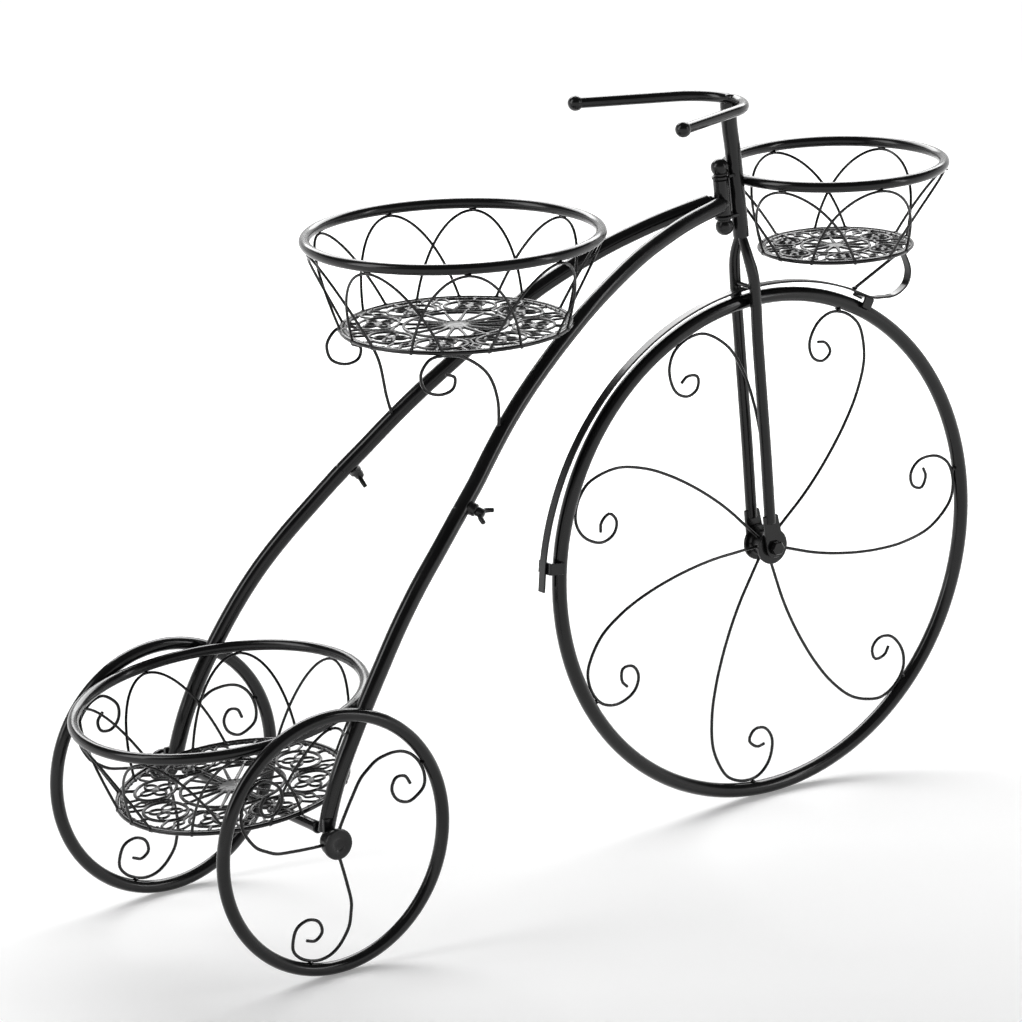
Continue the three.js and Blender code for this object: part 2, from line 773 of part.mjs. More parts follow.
function axleBolt() {
  const face = axleFace();
  const end = face + axleNutThickness + 1.5 * weldGap;
  const head = rod(onAxle(-face), onAxle(-face - axleNutThickness), axleNutWidth, 6);
  const shank = rod(onAxle(-face - axleNutThickness / 2), onAxle(end), frontAxleDiameter);
  return geometryOf(solidOf(head).add(solidOf(shank)));
}

function axleNut() {
  const face = axleFace();
  const nut = rod(onAxle(face), onAxle(face + axleNutThickness), axleNutWidth, 6);
  const thread = bore(onAxle(0), onAxle(2 * face + axleNutThickness), frontAxleDiameter + 2 * slideGap);
  return geometryOf(solidOf(nut).subtract(solidOf(thread)));
}

// Handlebar

function barPoints() {
  const front = steererAt(barHeight).x + barAheadOffset;
  const half = [];
  const lift = Math.tan(radians(barRiseAngle));
  const place = (x, y) => new THREE.Vector3(x, y, barHeight + (front - x) * lift);
  for (let i = 0; i <= 5; i += 1) {
    const angle = radians(barBendAngle) * i / 5;
    half.push(place(front - barBendRadius * (1 - Math.cos(angle)), barBendRadius * Math.sin(angle)));
  }
  const bend = half[half.length - 1];
  const heading = radians(90 + barBendAngle);
  [1 / 3, 2 / 3, 1].forEach((share) => {
    const along = share * barLegLength;
    half.push(place(bend.x + along * Math.cos(heading), bend.y + along * Math.sin(heading)));
  });
  const mirrored = half.slice(1).reverse().map((point) => point.clone().setY(-point.y));
  return [...mirrored, ...half];
}

function barBall(side) {
  const points = barPoints();
  const ends = side === 'left' ? points.slice(-2) : [points[1], points[0]];
  const [before, end] = ends;
  const along = end.clone().sub(before).normalize();
  const centre = end.clone().addScaledVector(along, barBallDiameter / 2 - barIntoBall);
  const well = bore(before, end.clone().addScaledVector(along, weldGap), barDiameter + 2 * weldGap);
  return geometryOf(solidOf(ball(centre, barBallDiameter)).subtract(solidOf(well)));
}

// Fender: its radius about the front axle changes a little along the strip

function aroundFrontAxle(radius, degrees) {
  return new THREE.Vector3(
    wheelbase + radius * Math.cos(radians(degrees)), 0, frontAxleZ + radius * Math.sin(radians(degrees)));
}

function fenderReach(degrees) {
  const around = (degrees - fenderRearAngle) / (fenderFrontAngle - fenderRearAngle);
  const next = Math.max(1, fenderShares.findIndex(([share]) => share >= around));
  const [[low, from], [high, to]] = [fenderShares[next - 1], fenderShares[next]];
  return fenderRadius * (from + (to - from) * (around - low) / (high - low));
}

function frontBasketX() {
  const rimBack = steererAt(frontBasketRimZ).x + steererDiameter / 2 + weldGap;
  return rimBack + basketRimDiameter / 2 + frontBasket.rimRadius;
}

function curlPoints() {
  const start = aroundFrontAxle(fenderReach(fenderFrontAngle), fenderFrontAngle);
  const endX = frontBasketX() + frontBasket.baseRadius;
  const endZ = frontBasketRimZ - frontBasket.height - baseRingDiameter / 2 - weldGap;
  const width = endX - start.x;
  const rise = endZ - start.z;
  const points = curlShares.map(([x, z]) => new THREE.Vector3(start.x + width * x, 0, start.z + rise * z));
  return [...points, new THREE.Vector3(start.x + width, 0, endZ)];
}

function fenderPoints() {
  const points = [];
  for (let i = 0; i <= fenderFacets; i += 1) {
    const angle = fenderRearAngle + (fenderFrontAngle - fenderRearAngle) * i / fenderFacets;
    points.push(aroundFrontAxle(fenderReach(angle), angle));
  }
  return [...points, ...curlPoints()];
}

function strip(points, width, thickness) {
  const [w, t] = [width / 2, thickness / 2];
  const section = new THREE.Shape([
    new THREE.Vector2(-w, -t), new THREE.Vector2(w, -t), new THREE.Vector2(w, t), new THREE.Vector2(-w, t)]);
  return sweep(section, points, points.length - 1);
}

function fenderClip(angle) {
  const half = frontRimDiameter / 2 + clipRimGap;
  const halfFacet = radians(fenderRearAngle - fenderFrontAngle) / (2 * fenderFacets);
  const top = fenderReach(angle) * Math.cos(halfFacet) - fenderThickness / 2 - weldGap - clipSlack;
  const box = (x, y, z) => new THREE.BoxGeometry(x, y, z);
  const bridgePlate = box(clipLength, 2 * (half + clipThickness), clipThickness);
  bridgePlate.translate(0, 0, top - clipThickness / 2 - clipLength * clipLength / (8 * fenderRadius));
  const parts = [bridgePlate];
  [-1, 1].forEach((way) => {
    const cheekTop = top - weldGap - clipSlack;
    const depth = cheekTop - frontWheelRadius - clipRimReach;
    const cheek = box(clipLength, clipThickness, depth);
    cheek.translate(0, way * (half + clipThickness / 2), cheekTop - depth / 2);
    parts.push(cheek);
  });
  const geometry = geometryOf(joined(parts.map(solidOf)));
  geometry.rotateY(radians(90 - angle));
  geometry.translate(wheelbase, 0, frontAxleZ);
  return geometry;
}

function fenderBridge() {
  const x = bladePoints('left')[2].x;
  const angle = THREE.MathUtils.radToDeg(Math.acos((x - wheelbase) / fenderRadius));
  const reach = fenderReach(angle) + fenderThickness / 2 + weldGap + clipSlack + bridgeDiameter / 2;
  const z = frontAxleZ + Math.sqrt(reach ** 2 - (wheelbase - x) ** 2);
  const [from, to] = [-1, 1].map((way) => new THREE.Vector3(x, way * bladeOffset, z));
  const line = rod(from, to, bridgeDiameter, 8);
  let whole = solidOf(line);
  ['right', 'left'].forEach((side) => {
    const envelope = cutter(bladePoints(side).slice(0, 5), bladeDiameter + 2 * weldGap, tubeSides);
    whole = largest(whole.subtract(solidOf(envelope)));
  });
  return geometryOf(whole);
}

function brace() {
  const foot = aroundFrontAxle(fenderReach(braceFoot), braceFoot);
  const curl = new THREE.CatmullRomCurve3(curlPoints(), false, 'centripetal');
  const head = curl.getPointAt(braceCurlShare);
  const envelope = strip(fenderPoints(), 2 * fenderWidth, fenderThickness + 2 * weldGap);
  return geometryOf(largest(solidOf(rod(foot, head, braceDiameter, 8)).subtract(solidOf(envelope))));
}

// Baskets, each built about the centre of its base ring

function archWire(basket, middle) {
  const rimInner = basketRimDiameter / 2 * Math.cos(Math.PI / rimSides);
  const apexZ = basket.height - rimInner - weldGap - cageWireDiameter / 2;
  const spread = archSpread * 360 / basket.arches;
  const points = [];
  for (let i = -4; i <= 4; i += 1) {
    const share = i / 4;
    const up = 1 - Math.abs(share) ** archPower;
    const radius = basket.baseRadius + (basket.rimRadius - basket.baseRadius) * up;
    const angle = radians(middle + spread * share);
    points.push(new THREE.Vector3(radius * Math.cos(angle), radius * Math.sin(angle), apexZ * up));
  }
  return tube(points, cageWireDiameter, wireFacets);
}

function cage(basket) {
  const parts = [ring(basket.baseRadius, baseRingDiameter, basketFacets, wireFacets)];
  for (let i = 0; i < basket.arches; i += 1) {
    parts.push(archWire(basket, basket.turn + 360 * i / basket.arches));
  }
  return geometryOf(joined(parts.map(solidOf)));
}

function flatRing(radius, width, count) {
  const shape = new THREE.Shape(sectionShape(radius, count).getPoints());
  shape.holes.push(new THREE.Path(sectionShape(radius - width, count).getPoints()));
  return new THREE.ExtrudeGeometry(shape, { depth: floorThickness, bevelEnabled: false });
}

function flatDisc(radius, count) {
  const section = sectionShape(radius, count);
  return new THREE.ExtrudeGeometry(section, { depth: floorThickness, bevelEnabled: false });
}

function flatBar(from, to, width) {
  const bar = new THREE.BoxGeometry(to - from, width, floorThickness);
  return bar.translate((from + to) / 2, 0, floorThickness / 2);
}

function flatStar(radius) {
  const corners = [];
  for (let i = 0; i < 8; i += 1) {
    const reach = i % 2 === 0 ? radius : radius * 0.36;
    const angle = Math.PI * i / 4;
    corners.push(new THREE.Vector2(reach * Math.cos(angle), reach * Math.sin(angle)));
  }
  return new THREE.ExtrudeGeometry(new THREE.Shape(corners), { depth: floorThickness, bevelEnabled: false });
}

function latticeFloor(basket) {
  const outer = innerReach(basket.baseRadius, baseRingDiameter, basketFacets) - weldGap;
  const flowerRing = outer * 0.715;
  const flowerRadius = outer * 0.22;
  const innerRing = outer * 0.5;
  const bossRadius = outer * 0.16;
  const bars = basket.bars;
  const parts = [
    flatRing(outer, floorStripWidth, basketFacets),
    flatRing(innerRing + floorStripWidth / 2, floorStripWidth, bars),
    flatDisc(bossRadius, bars),
  ];
  for (let i = 0; i < bars; i += 1) {
    const bar = flatBar(bossRadius * 0.9, innerRing, floorStripWidth * 0.8);
    parts.push(bar.rotateZ(2 * Math.PI * i / bars));
  }
  for (let i = 0; i < basket.flowers; i += 1) {
    const flower = [
      flatRing(flowerRadius, floorStripWidth * 0.8, 6).rotateZ(Math.PI / 6),
      flatStar(flowerRadius * 0.88),
      flatBar(flowerRadius - floorStripWidth, outer - flowerRing - floorStripWidth / 2, floorStripWidth),
    ];
    const turn = 2 * Math.PI * i / basket.flowers;
    flower.forEach((piece) => parts.push(piece.translate(flowerRing, 0, 0).rotateZ(turn)));
  }
  const floor = geometryOf(joined(parts.map(solidOf)));
  return floor.translate(0, 0, -floorThickness / 2);
}

function basketNodes(name, basket, x, baseZ) {
  const rim = ring(basket.rimRadius, basketRimDiameter, basketFacets).translate(0, 0, basket.height);
  const nodes = [
    mesh(`${name}_basket_rim`, rim),
    mesh(`${name}_basket_cage`, cage(basket), wirePaint),
    mesh(`${name}_basket_floor`, latticeFloor(basket), wirePaint),
  ];
  const holder = group(nodes, x, 0, baseZ);
  holder.rotation.y = -radians(basket.tilt);
  return holder;
}

// The middle basket's base ring comes down on both upper stays, and this finds the height of that seat.
function middleBaseZ() {
  const line = stretch(stayCurve('left'), 0.5, 1, 200);
  const clear = stayRadius * Math.cos(Math.PI / tubeSides) + baseRingDiameter / 2 + weldGap;
  const facet = 2 * Math.PI / basketFacets;
  let seat = 0;
  for (let i = 0; i <= 90; i += 1) {
    const angle = radians(i);
    const radius = middleBasket.baseRadius * Math.cos(facet / 2) / Math.cos(angle % facet - facet / 2);
    const x = middleBasketX + radius * Math.cos(angle);
    const y = radius * Math.sin(angle);
    line.forEach((point) => {
      const flat = Math.hypot(point.x - x, point.y - y);
      if (flat < clear && point.x < x + clear) {
        seat = Math.max(seat, point.z + Math.sqrt(clear ** 2 - flat ** 2));
      }
    });
  }
  return seat;
}

function basketSupport(side) {
  const y = sides[side] * supportOffset;
  const x = middleBasketX - Math.sqrt(middleBasket.baseRadius ** 2 - supportOffset ** 2);
  const seat = middleBaseZ();
  const z = seat - baseRingDiameter / 2 - weldGap - supportDiameter / 2;
  const foot = stayCurve(side).getPointAt(supportFootShares[side]).setY(y);
  const shares = [...supportLegShares[side], ...supportCurlShares];
  const points = [foot];
  shares.forEach(([forward, up]) => {
    points.push(new THREE.Vector3(x + supportRise * forward, y, z + supportRise * up));
  });
  const wire = solidOf(tube(points, supportDiameter, wireFacets, 2 * (points.length - 1)));
  const aboveWire = ring(middleBasket.baseRadius, baseRingDiameter + 3 * weldGap, basketFacets, wireFacets);
  aboveWire.translate(middleBasketX, 0, seat);
  return geometryOf(largest(wire.subtract(solidOf(aboveWire)).subtract(stayEnvelope(side, 'upper'))));
}

function middleBasketParts() {
  const nodes = [basketNodes('middle', middleBasket, middleBasketX, middleBaseZ())];
  Object.keys(sides).forEach((side) => {
    nodes.push(mesh(`middle_basket_support_${side}`, basketSupport(side), wirePaint));
  });
  return group(nodes);
}

function lowerBasketParts() {
  const lean = radians(lowerBasket.tilt);
  const x = lowerBasketX + lowerBasket.height * Math.sin(lean);
  return basketNodes('lower', lowerBasket, x, lowerBasketRimZ - lowerBasket.height * Math.cos(lean));
}

function forkParts() {
  const nodes = [
    mesh('steerer', steerer()),
    mesh('head_pin', headPin()),
    mesh('head_pin_cap_upper', headCap(1)),
    mesh('head_pin_cap_lower', headCap(-1)),
    mesh('handlebar', tube(barPoints(), barDiameter)),
    mesh('fender', strip(fenderPoints(), fenderWidth, fenderThickness)),
    mesh('fender_clip_front', fenderClip(clipAngles.front)),
    mesh('fender_clip_rear', fenderClip(clipAngles.rear)),
    mesh('fender_bridge', fenderBridge()),
    mesh('basket_brace', brace()),
    mesh('front_axle_bolt', axleBolt()),
    mesh('front_axle_nut', axleNut()),
    basketNodes('front', frontBasket, frontBasketX(), frontBasketRimZ - frontBasket.height),
  ];
  Object.keys(sides).forEach((side) => {
    nodes.push(mesh(`fork_blade_${side}`, forkBlade(side)));
    nodes.push(mesh(`handlebar_ball_${side}`, barBall(side)));
  });
  return group(nodes);
}

const planter = new THREE.Group();
planter.add(frame(), middleBasketParts(), lowerBasketParts(), forkParts());
planter.add(frontWheel(), rearWheel('right'), rearWheel('left'));
planter.position.x = -middleAheadOfRearAxle;

export default planter;
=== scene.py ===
"""A bicycle planter in gloss black enamel: a steel tricycle with three wire flower baskets.

Metres, +Z up, +X forward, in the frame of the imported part. The right side is at -Y.
"""

import math
import random

import bpy
from mathutils import Matrix, Vector


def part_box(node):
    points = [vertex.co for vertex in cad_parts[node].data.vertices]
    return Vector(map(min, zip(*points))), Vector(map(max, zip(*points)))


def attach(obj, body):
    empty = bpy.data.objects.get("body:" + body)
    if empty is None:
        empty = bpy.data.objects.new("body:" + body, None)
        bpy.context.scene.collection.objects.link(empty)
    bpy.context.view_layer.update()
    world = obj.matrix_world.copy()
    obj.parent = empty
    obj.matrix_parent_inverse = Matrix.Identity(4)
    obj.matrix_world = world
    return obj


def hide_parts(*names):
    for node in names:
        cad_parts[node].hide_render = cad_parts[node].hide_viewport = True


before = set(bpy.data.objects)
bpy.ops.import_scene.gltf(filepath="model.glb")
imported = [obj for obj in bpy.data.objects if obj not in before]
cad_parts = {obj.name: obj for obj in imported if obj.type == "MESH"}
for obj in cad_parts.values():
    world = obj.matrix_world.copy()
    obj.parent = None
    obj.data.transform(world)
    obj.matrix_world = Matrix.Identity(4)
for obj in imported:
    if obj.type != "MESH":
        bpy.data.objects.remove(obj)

bl_info = {
    "name": "Bicycle planter",
    "version": (1, 0, 0),
    "blender": (4, 5, 0),
    "location": "View3D > Sidebar > Planter",
    "description": "Builds an enamelled steel bicycle planter over its packed frame",
    "category": "Add Mesh",
}

# Places and shapes that the pieces share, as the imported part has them. Angles are in degrees.

MM = 0.001
SIDES = {"right": -1, "left": 1}
UP = Vector((0, 0, 1))
WELD_GAP = 0.3 * MM

REAR_AXLE = Vector((-0.338, 0, 0.1205))
REAR_WHEEL_OFFSET = 140.5 * MM
FRONT_AXLE = Vector((0.25, 0, 0.247))

# Shares of the way from the rear axle to the stays' head: forward, out to the foot's offset, up
STAY_SHARES = (
    (-0.004, 1, -0.021), (0, 1, 0), (0.009, 1, 0.042), (0.03, 0.997, 0.11), (0.065, 0.99, 0.189),
    (0.123, 0.957, 0.295), (0.172, 0.909, 0.372), (0.218, 0.856, 0.432), (0.268, 0.799, 0.489),
    (0.318, 0.737, 0.545), (0.365, 0.672, 0.595), (0.407, 0.604, 0.642), (0.453, 0.531, 0.69),
    (0.509, 0.453, 0.742), (0.581, 0.374, 0.803), (0.671, 0.286, 0.87), (0.781, 0.168, 0.931),
    (0.8524, 0.1, 0.96), (0.908, 0.054, 0.978), (1, 0, 1),
)
STAY_STEPS = 600
STAY_HEAD = Vector((0.20873, 0, 0.586))
STAY_HEAD_OFFSET = 8.2 * MM
STAY_FOOT_OFFSET = 125.5 * MM
STAY_FOOT_RISE = 5.6 * MM
STAY_JOINT_SHARE = 0.425
STAY_END_SHARE = 0.9865
CLAMP_UP_THE_STAY = 9 * MM
CLAMP_TURNS = {"right": -48, "left": 4}
WING_TURNS = {"right": 62, "left": 20}

# Shares of the way from the hub out to the rim, and of the spoke's own turn round the axle
FRONT_SPOKE_SHARES = (
    (0.147, -0.565), (0.26, -0.558), (0.368, -0.526), (0.48, -0.487), (0.607, -0.44), (0.737, -0.383),
    (0.867, -0.303), (0.954, -0.206), (0.985, -0.15), (1, -0.06), (0.985, 0.035), (0.93, 0.105),
    (0.84, 0.13), (0.786, 0.075), (0.7855, -0.007), (0.83, -0.042), (0.86, 0.019), (0.8535, 0.069),
)
FRONT_SPOKE_ANGLES = (66.6, 7.9, -45.2, -95.3, -150.7, 162.4, 115)
FRONT_SPOKE_TURN = 47.5
FRONT_SPOKE_START = 11 * MM
REAR_SPOKE_SHARES = (
    (0.2, 0.573), (0.395, 0.555), (0.565, 0.533), (0.659, 0.483), (0.753, 0.43), (0.828, 0.36),
    (0.894, 0.29), (0.95, 0.21), (0.988, 0.11), (1, 0), (0.988, -0.11), (0.95, -0.195), (0.88, -0.24),
    (0.763, -0.262), (0.67, -0.158), (0.67, 0.004), (0.755, 0.076), (0.828, 0.012), (0.838, -0.089),
)
REAR_SPOKE_ANGLES = {"right": (29.5, -106.5, 146), "left": (139.5, 23.5, -110.5)}
REAR_SPOKE_TURN = 57.6
REAR_SPOKE_START = 12 * MM

HEAD_LOWER = Vector((0.2105, 0, 0.5612))
HEAD_UPPER = Vector((0.2065, 0, 0.6172))
HEAD_MIDDLE = (HEAD_LOWER + HEAD_UPPER) / 2
HEAD_AXIS = (HEAD_UPPER - HEAD_LOWER).normalized()
STEERER_BOTTOM = Vector((0.2294, 0, 0.549))
STEERER_TOP = Vector((0.2177, 0, 0.682))
STEERER_SHARES = ((0, 0), (0.1, 0.074), (0.24, 0.222), (0.42, 0.4), (0.65, 0.68), (0.8, 0.9), (1, 1))
STEERER_CUT_Z = 0.6775
BAR_UNDERSIDE_Z = 0.6736

# Shares of the way from the crown to the front axle (down, forward) and of the blade's offset
BLADE_SHARES = (
    (0, 0, 0.2), (0.058, 0.03, 0.7), (0.123, 0.15, 1), (0.33, 0.31, 1), (0.51, 0.467, 1),
    (0.673, 0.61, 1), (0.857, 0.738, 1), (0.915, 0.78, 1),
)
CROWN = Vector((0.229, 0, 0.5475))
BLADE_OFFSET = 14.3 * MM

# Shares of the way round the wheel, and of the fender's radius there
FENDER_RADIUS = 256 * MM
FENDER_ANGLES = (179, 58.5)
FENDER_SHARES = (
    (0, 1.016), (0.158, 1.005), (0.324, 0.995), (0.49, 0.9885), (0.573, 0.986), (0.656, 0.984),
    (0.76, 0.984), (0.938, 0.992), (1, 0.998),
)
CURL_SHARES = (
    (0.333, -0.024), (0.79, -0.037), (1.145, 0.024), (1.417, 0.145), (1.514, 0.353), (1.388, 0.579),
    (1.18, 0.785),
)
CLIP_ANGLES = {"front": 60.6, "rear": 174}
BRACE_ANGLE = 64.2

SUPPORT_CURL_SHARES = (
    (-0.107, -0.012), (-0.243, -0.169), (-0.195, -0.36), (0.015, -0.457), (0.203, -0.417),
    (0.237, -0.289), (0.12, -0.229),
)
SUPPORT_LEG_SHARES = {
    "right": ((0.833, -0.64), (0.696, -0.309), (0.355, -0.056), (0.107, 0)),
    "left": ((0.587, -0.973), (0.48, -0.467), (0.267, -0.107), (0.08, 0)),
}
SUPPORT_FOOT_SHARES = {"right": 0.531, "left": 0.51}
SUPPORT_OFFSET = 75 * MM
SUPPORT_RISE = 75 * MM

# Nudges are how far each arch stands off an even spacing
BASKETS = {
    "middle": {
        "body": "frame", "place": Vector((-0.094, 0, 0.518709)), "tilt": 0, "rim": 0.133, "base": 0.104,
        "height": 0.082, "arches": 9, "turn": 1, "seam": -62, "flowers": 8,
        "nudges": (5.8, 6.5, 0.5, 0, 1, 0, 0, -1, 2),
    },
    "front": {
        "body": "fork", "place": Vector((0.340899, 0, 0.522)), "tilt": 0, "rim": 0.103, "base": 0.072,
        "height": 0.0785, "arches": 6, "turn": 22.7, "seam": 130, "flowers": 6,
        "nudges": (2.7, 3.2, 1, 1.3, -7, -5),
    },
    "lower": {
        "body": "frame", "place": Vector((-0.352791, 0, 0.140077)), "tilt": 6.8, "rim": 0.1305,
        "base": 0.104, "height": 0.082, "arches": 9, "turn": 5, "seam": -150, "flowers": 8,
        "nudges": (1.1, 4.8, 3.8, 5, 0, 1, 0, -1, 0),
    },
}
ARCH_SPREAD = 0.7
ARCH_POWER = 1.9
BASE_RING_RADIUS = 2 * MM


def width(node):
    """A CAD node's extent along X."""
    low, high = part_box(node)
    return high[0] - low[0]


# Settings


def length(name, default, description):
    return bpy.props.FloatProperty(
        name=name, default=default, min=0, unit="LENGTH", precision=4, description=description)


def share(name, default, description):
    return bpy.props.FloatProperty(
        name=name, default=default, min=0, max=1, subtype="FACTOR", description=description)


def colour(name, default, description):
    return bpy.props.FloatVectorProperty(
        name=name, default=default, size=3, min=0, max=1, subtype="COLOR", description=description)


class PlanterWheelSettings(bpy.types.PropertyGroup):
    front_diameter: length("Front wheel", width("front_wheel_rim"), "Outside diameter of the large wheel")
    front_tube: length("Front rim tube", 14 * MM, "Diameter of the large wheel's rim tube")
    rear_diameter: length("Rear wheels", width("rear_wheel_rim_left"), "Outside diameter of the small wheels")
    rear_tube: length("Rear rim tube", 12 * MM, "Diameter of the small wheels' rim tube")
    spoke_wire: length("Spoke wire", 3 * MM, "Diameter of the curled spokes")


class PlanterFrameSettings(bpy.types.PropertyGroup):
    stay_tube: length("Stay tube", 15 * MM, "Diameter of the two long stays")
    cross_tube: length("Cross tube", 10 * MM, "Diameter of the tube between the stays' feet")
    steerer_tube: length("Steerer tube", 15 * MM, "Diameter of the upright tube at the head")
    blade_tube: length("Fork blade", 11 * MM, "Diameter of the fork blades")
    bar_tube: length("Handlebar tube", 10 * MM, "Diameter of the handlebar")
    bar_ball: length("Handlebar ball", 14.5 * MM, "Diameter of the balls on the handlebar's ends")
    fender_width: length("Fender width", 9 * MM, "Width of the flat strip over the large wheel")
    fender_thickness: length("Fender thickness", 2 * MM, "Thickness of the flat strip")


class PlanterBasketSettings(bpy.types.PropertyGroup):
    rim_tube: length("Basket rim tube", 10 * MM, "Diameter of the baskets' rim tubes")
    cage_wire: length("Cage wire", 2.6 * MM, "Diameter of the crossing arches")
    base_wire: length("Base ring wire", 4 * MM, "Diameter of the ring under each basket")
    support_wire: length("Support wire", 3 * MM, "Diameter of the scrolled supports")
    floor_wire: length("Floor relief", 3.3 * MM, "Width of the floor's cast lines")


class PlanterPaintSettings(bpy.types.PropertyGroup):
    enamel: colour("Enamel", (0.003, 0.003, 0.0032), "Colour of the gloss black paint")
    thin_enamel: colour("Thin enamel", (0.007, 0.007, 0.0073), "Colour where the paint lies thin")
    dust: colour("Dust", (0.09, 0.088, 0.085), "Colour of the fine dust on upper faces")
    dust_amount: share("Dust amount", 0.07, "How much dust lies on the upper faces")
    roughness: share("Roughness", 0.16, "Roughness of clean paint on the tubes")


class PlanterStudioSettings(bpy.types.PropertyGroup):
    floor: colour("Floor", (0.86, 0.86, 0.86), "Colour of the studio floor")
    ceiling: share("Ceiling", 0.08, "Brightness of the room above its white walls")


SETTINGS = {
    "planter_wheels": PlanterWheelSettings,
    "planter_frame": PlanterFrameSettings,
    "planter_baskets": PlanterBasketSettings,
    "planter_paint": PlanterPaintSettings,
    "planter_studio": PlanterStudioSettings,
}

# Lines in space


def mm(*values):
    return tuple(value * MM for value in values)


def polar(radius, degrees, z=0):
    angle = math.radians(degrees)
    return Vector((radius * math.cos(angle), radius * math.sin(angle), z))


def upright(radius, degrees):
    """A point round a wheel's axle, in the wheel's own plane."""
    angle = math.radians(degrees)
    return Vector((radius * math.cos(angle), 0, radius * math.sin(angle)))


def circle(radius, count):
    return [polar(radius, 360 * i / count) for i in range(count)]


def arc(radius, start, end, count):
    """Pairs along part of a circle, from one angle to another."""
    return [tuple(upright(radius, start + (end - start) * i / count).xz) for i in range(count + 1)]


def facing(place, way):
    """Axes at a place, with Z along a way."""
    return Matrix.Translation(place) @ way.to_track_quat("Z", "Y").to_matrix().to_4x4()


def between(start, end, along_x, along_z, y=0):
    """A point at two shares of the way from start to end, in X and in Z."""
    return Vector((start.x + (end.x - start.x) * along_x, y, start.z + (end.z - start.z) * along_z))


def straight(start, end, count):
    return [start.lerp(end, i / count) for i in range(count + 1)]


def smooth_line(points, count):
    """Evenly spaced points on a smooth curve through the given ones."""
    line = [2 * points[0] - points[1], *points, 2 * points[-1] - points[-2]]
    dense = []
    for a, b, c, d in zip(line, line[1:], line[2:], line[3:]):
        before, here, after = (max((q - p).length, 1e-7) ** 0.5 for p, q in ((a, b), (b, c), (c, d)))
        start = ((b - a) / before - (c - a) / (before + here) + (c - b) / here) * here
        end = ((c - b) / here - (d - b) / (here + after) + (d - c) / after) * here
        for step in range(16):
            t = step / 16
            dense.append(
                (2 * t**3 - 3 * t**2 + 1) * b + (t**3 - 2 * t**2 + t) * start
                + (3 * t**2 - 2 * t**3) * c + (t**3 - t**2) * end)
    dense.append(points[-1].copy())
    return spaced(dense, count)


def spaced(points, count):
    """The same line cut into count equal steps."""
    lengths = [0]
    for a, b in zip(points, points[1:]):
        lengths.append(lengths[-1] + (b - a).length)
    result = []
    i = 0
    for step in range(count + 1):
        want = lengths[-1] * step / count
        while i < len(points) - 2 and lengths[i + 1] < want:
            i += 1
        part = (want - lengths[i]) / max(lengths[i + 1] - lengths[i], 1e-9)
        result.append(points[i].lerp(points[i + 1], min(max(part, 0), 1)))
    return result


def line_length(points):
    return sum((b - a).length for a, b in zip(points, points[1:]))


def part_of(points, start, end, count):
    """The stretch of a line between two shares of its length."""
    fine = spaced(points, STAY_STEPS)
    return spaced(fine[round(STAY_STEPS * start):round(STAY_STEPS * end) + 1], count)


def headings(points):
    """The line's own direction at each point."""
    last = len(points) - 1
    return [(points[min(i + 1, last)] - points[max(i - 1, 0)]).normalized() for i in range(len(points))]


# Gathering corners and faces


def each(value, count):
    """One value for each of count points."""
    return [value] * count if isinstance(value, (int, float)) else value


def soft_levels(low, high, soften):
    """Heights up a plate's side, each with how far its corners are drawn in."""
    return (low, soften), (low + soften, 0), (high - soften, 0), (high, soften)


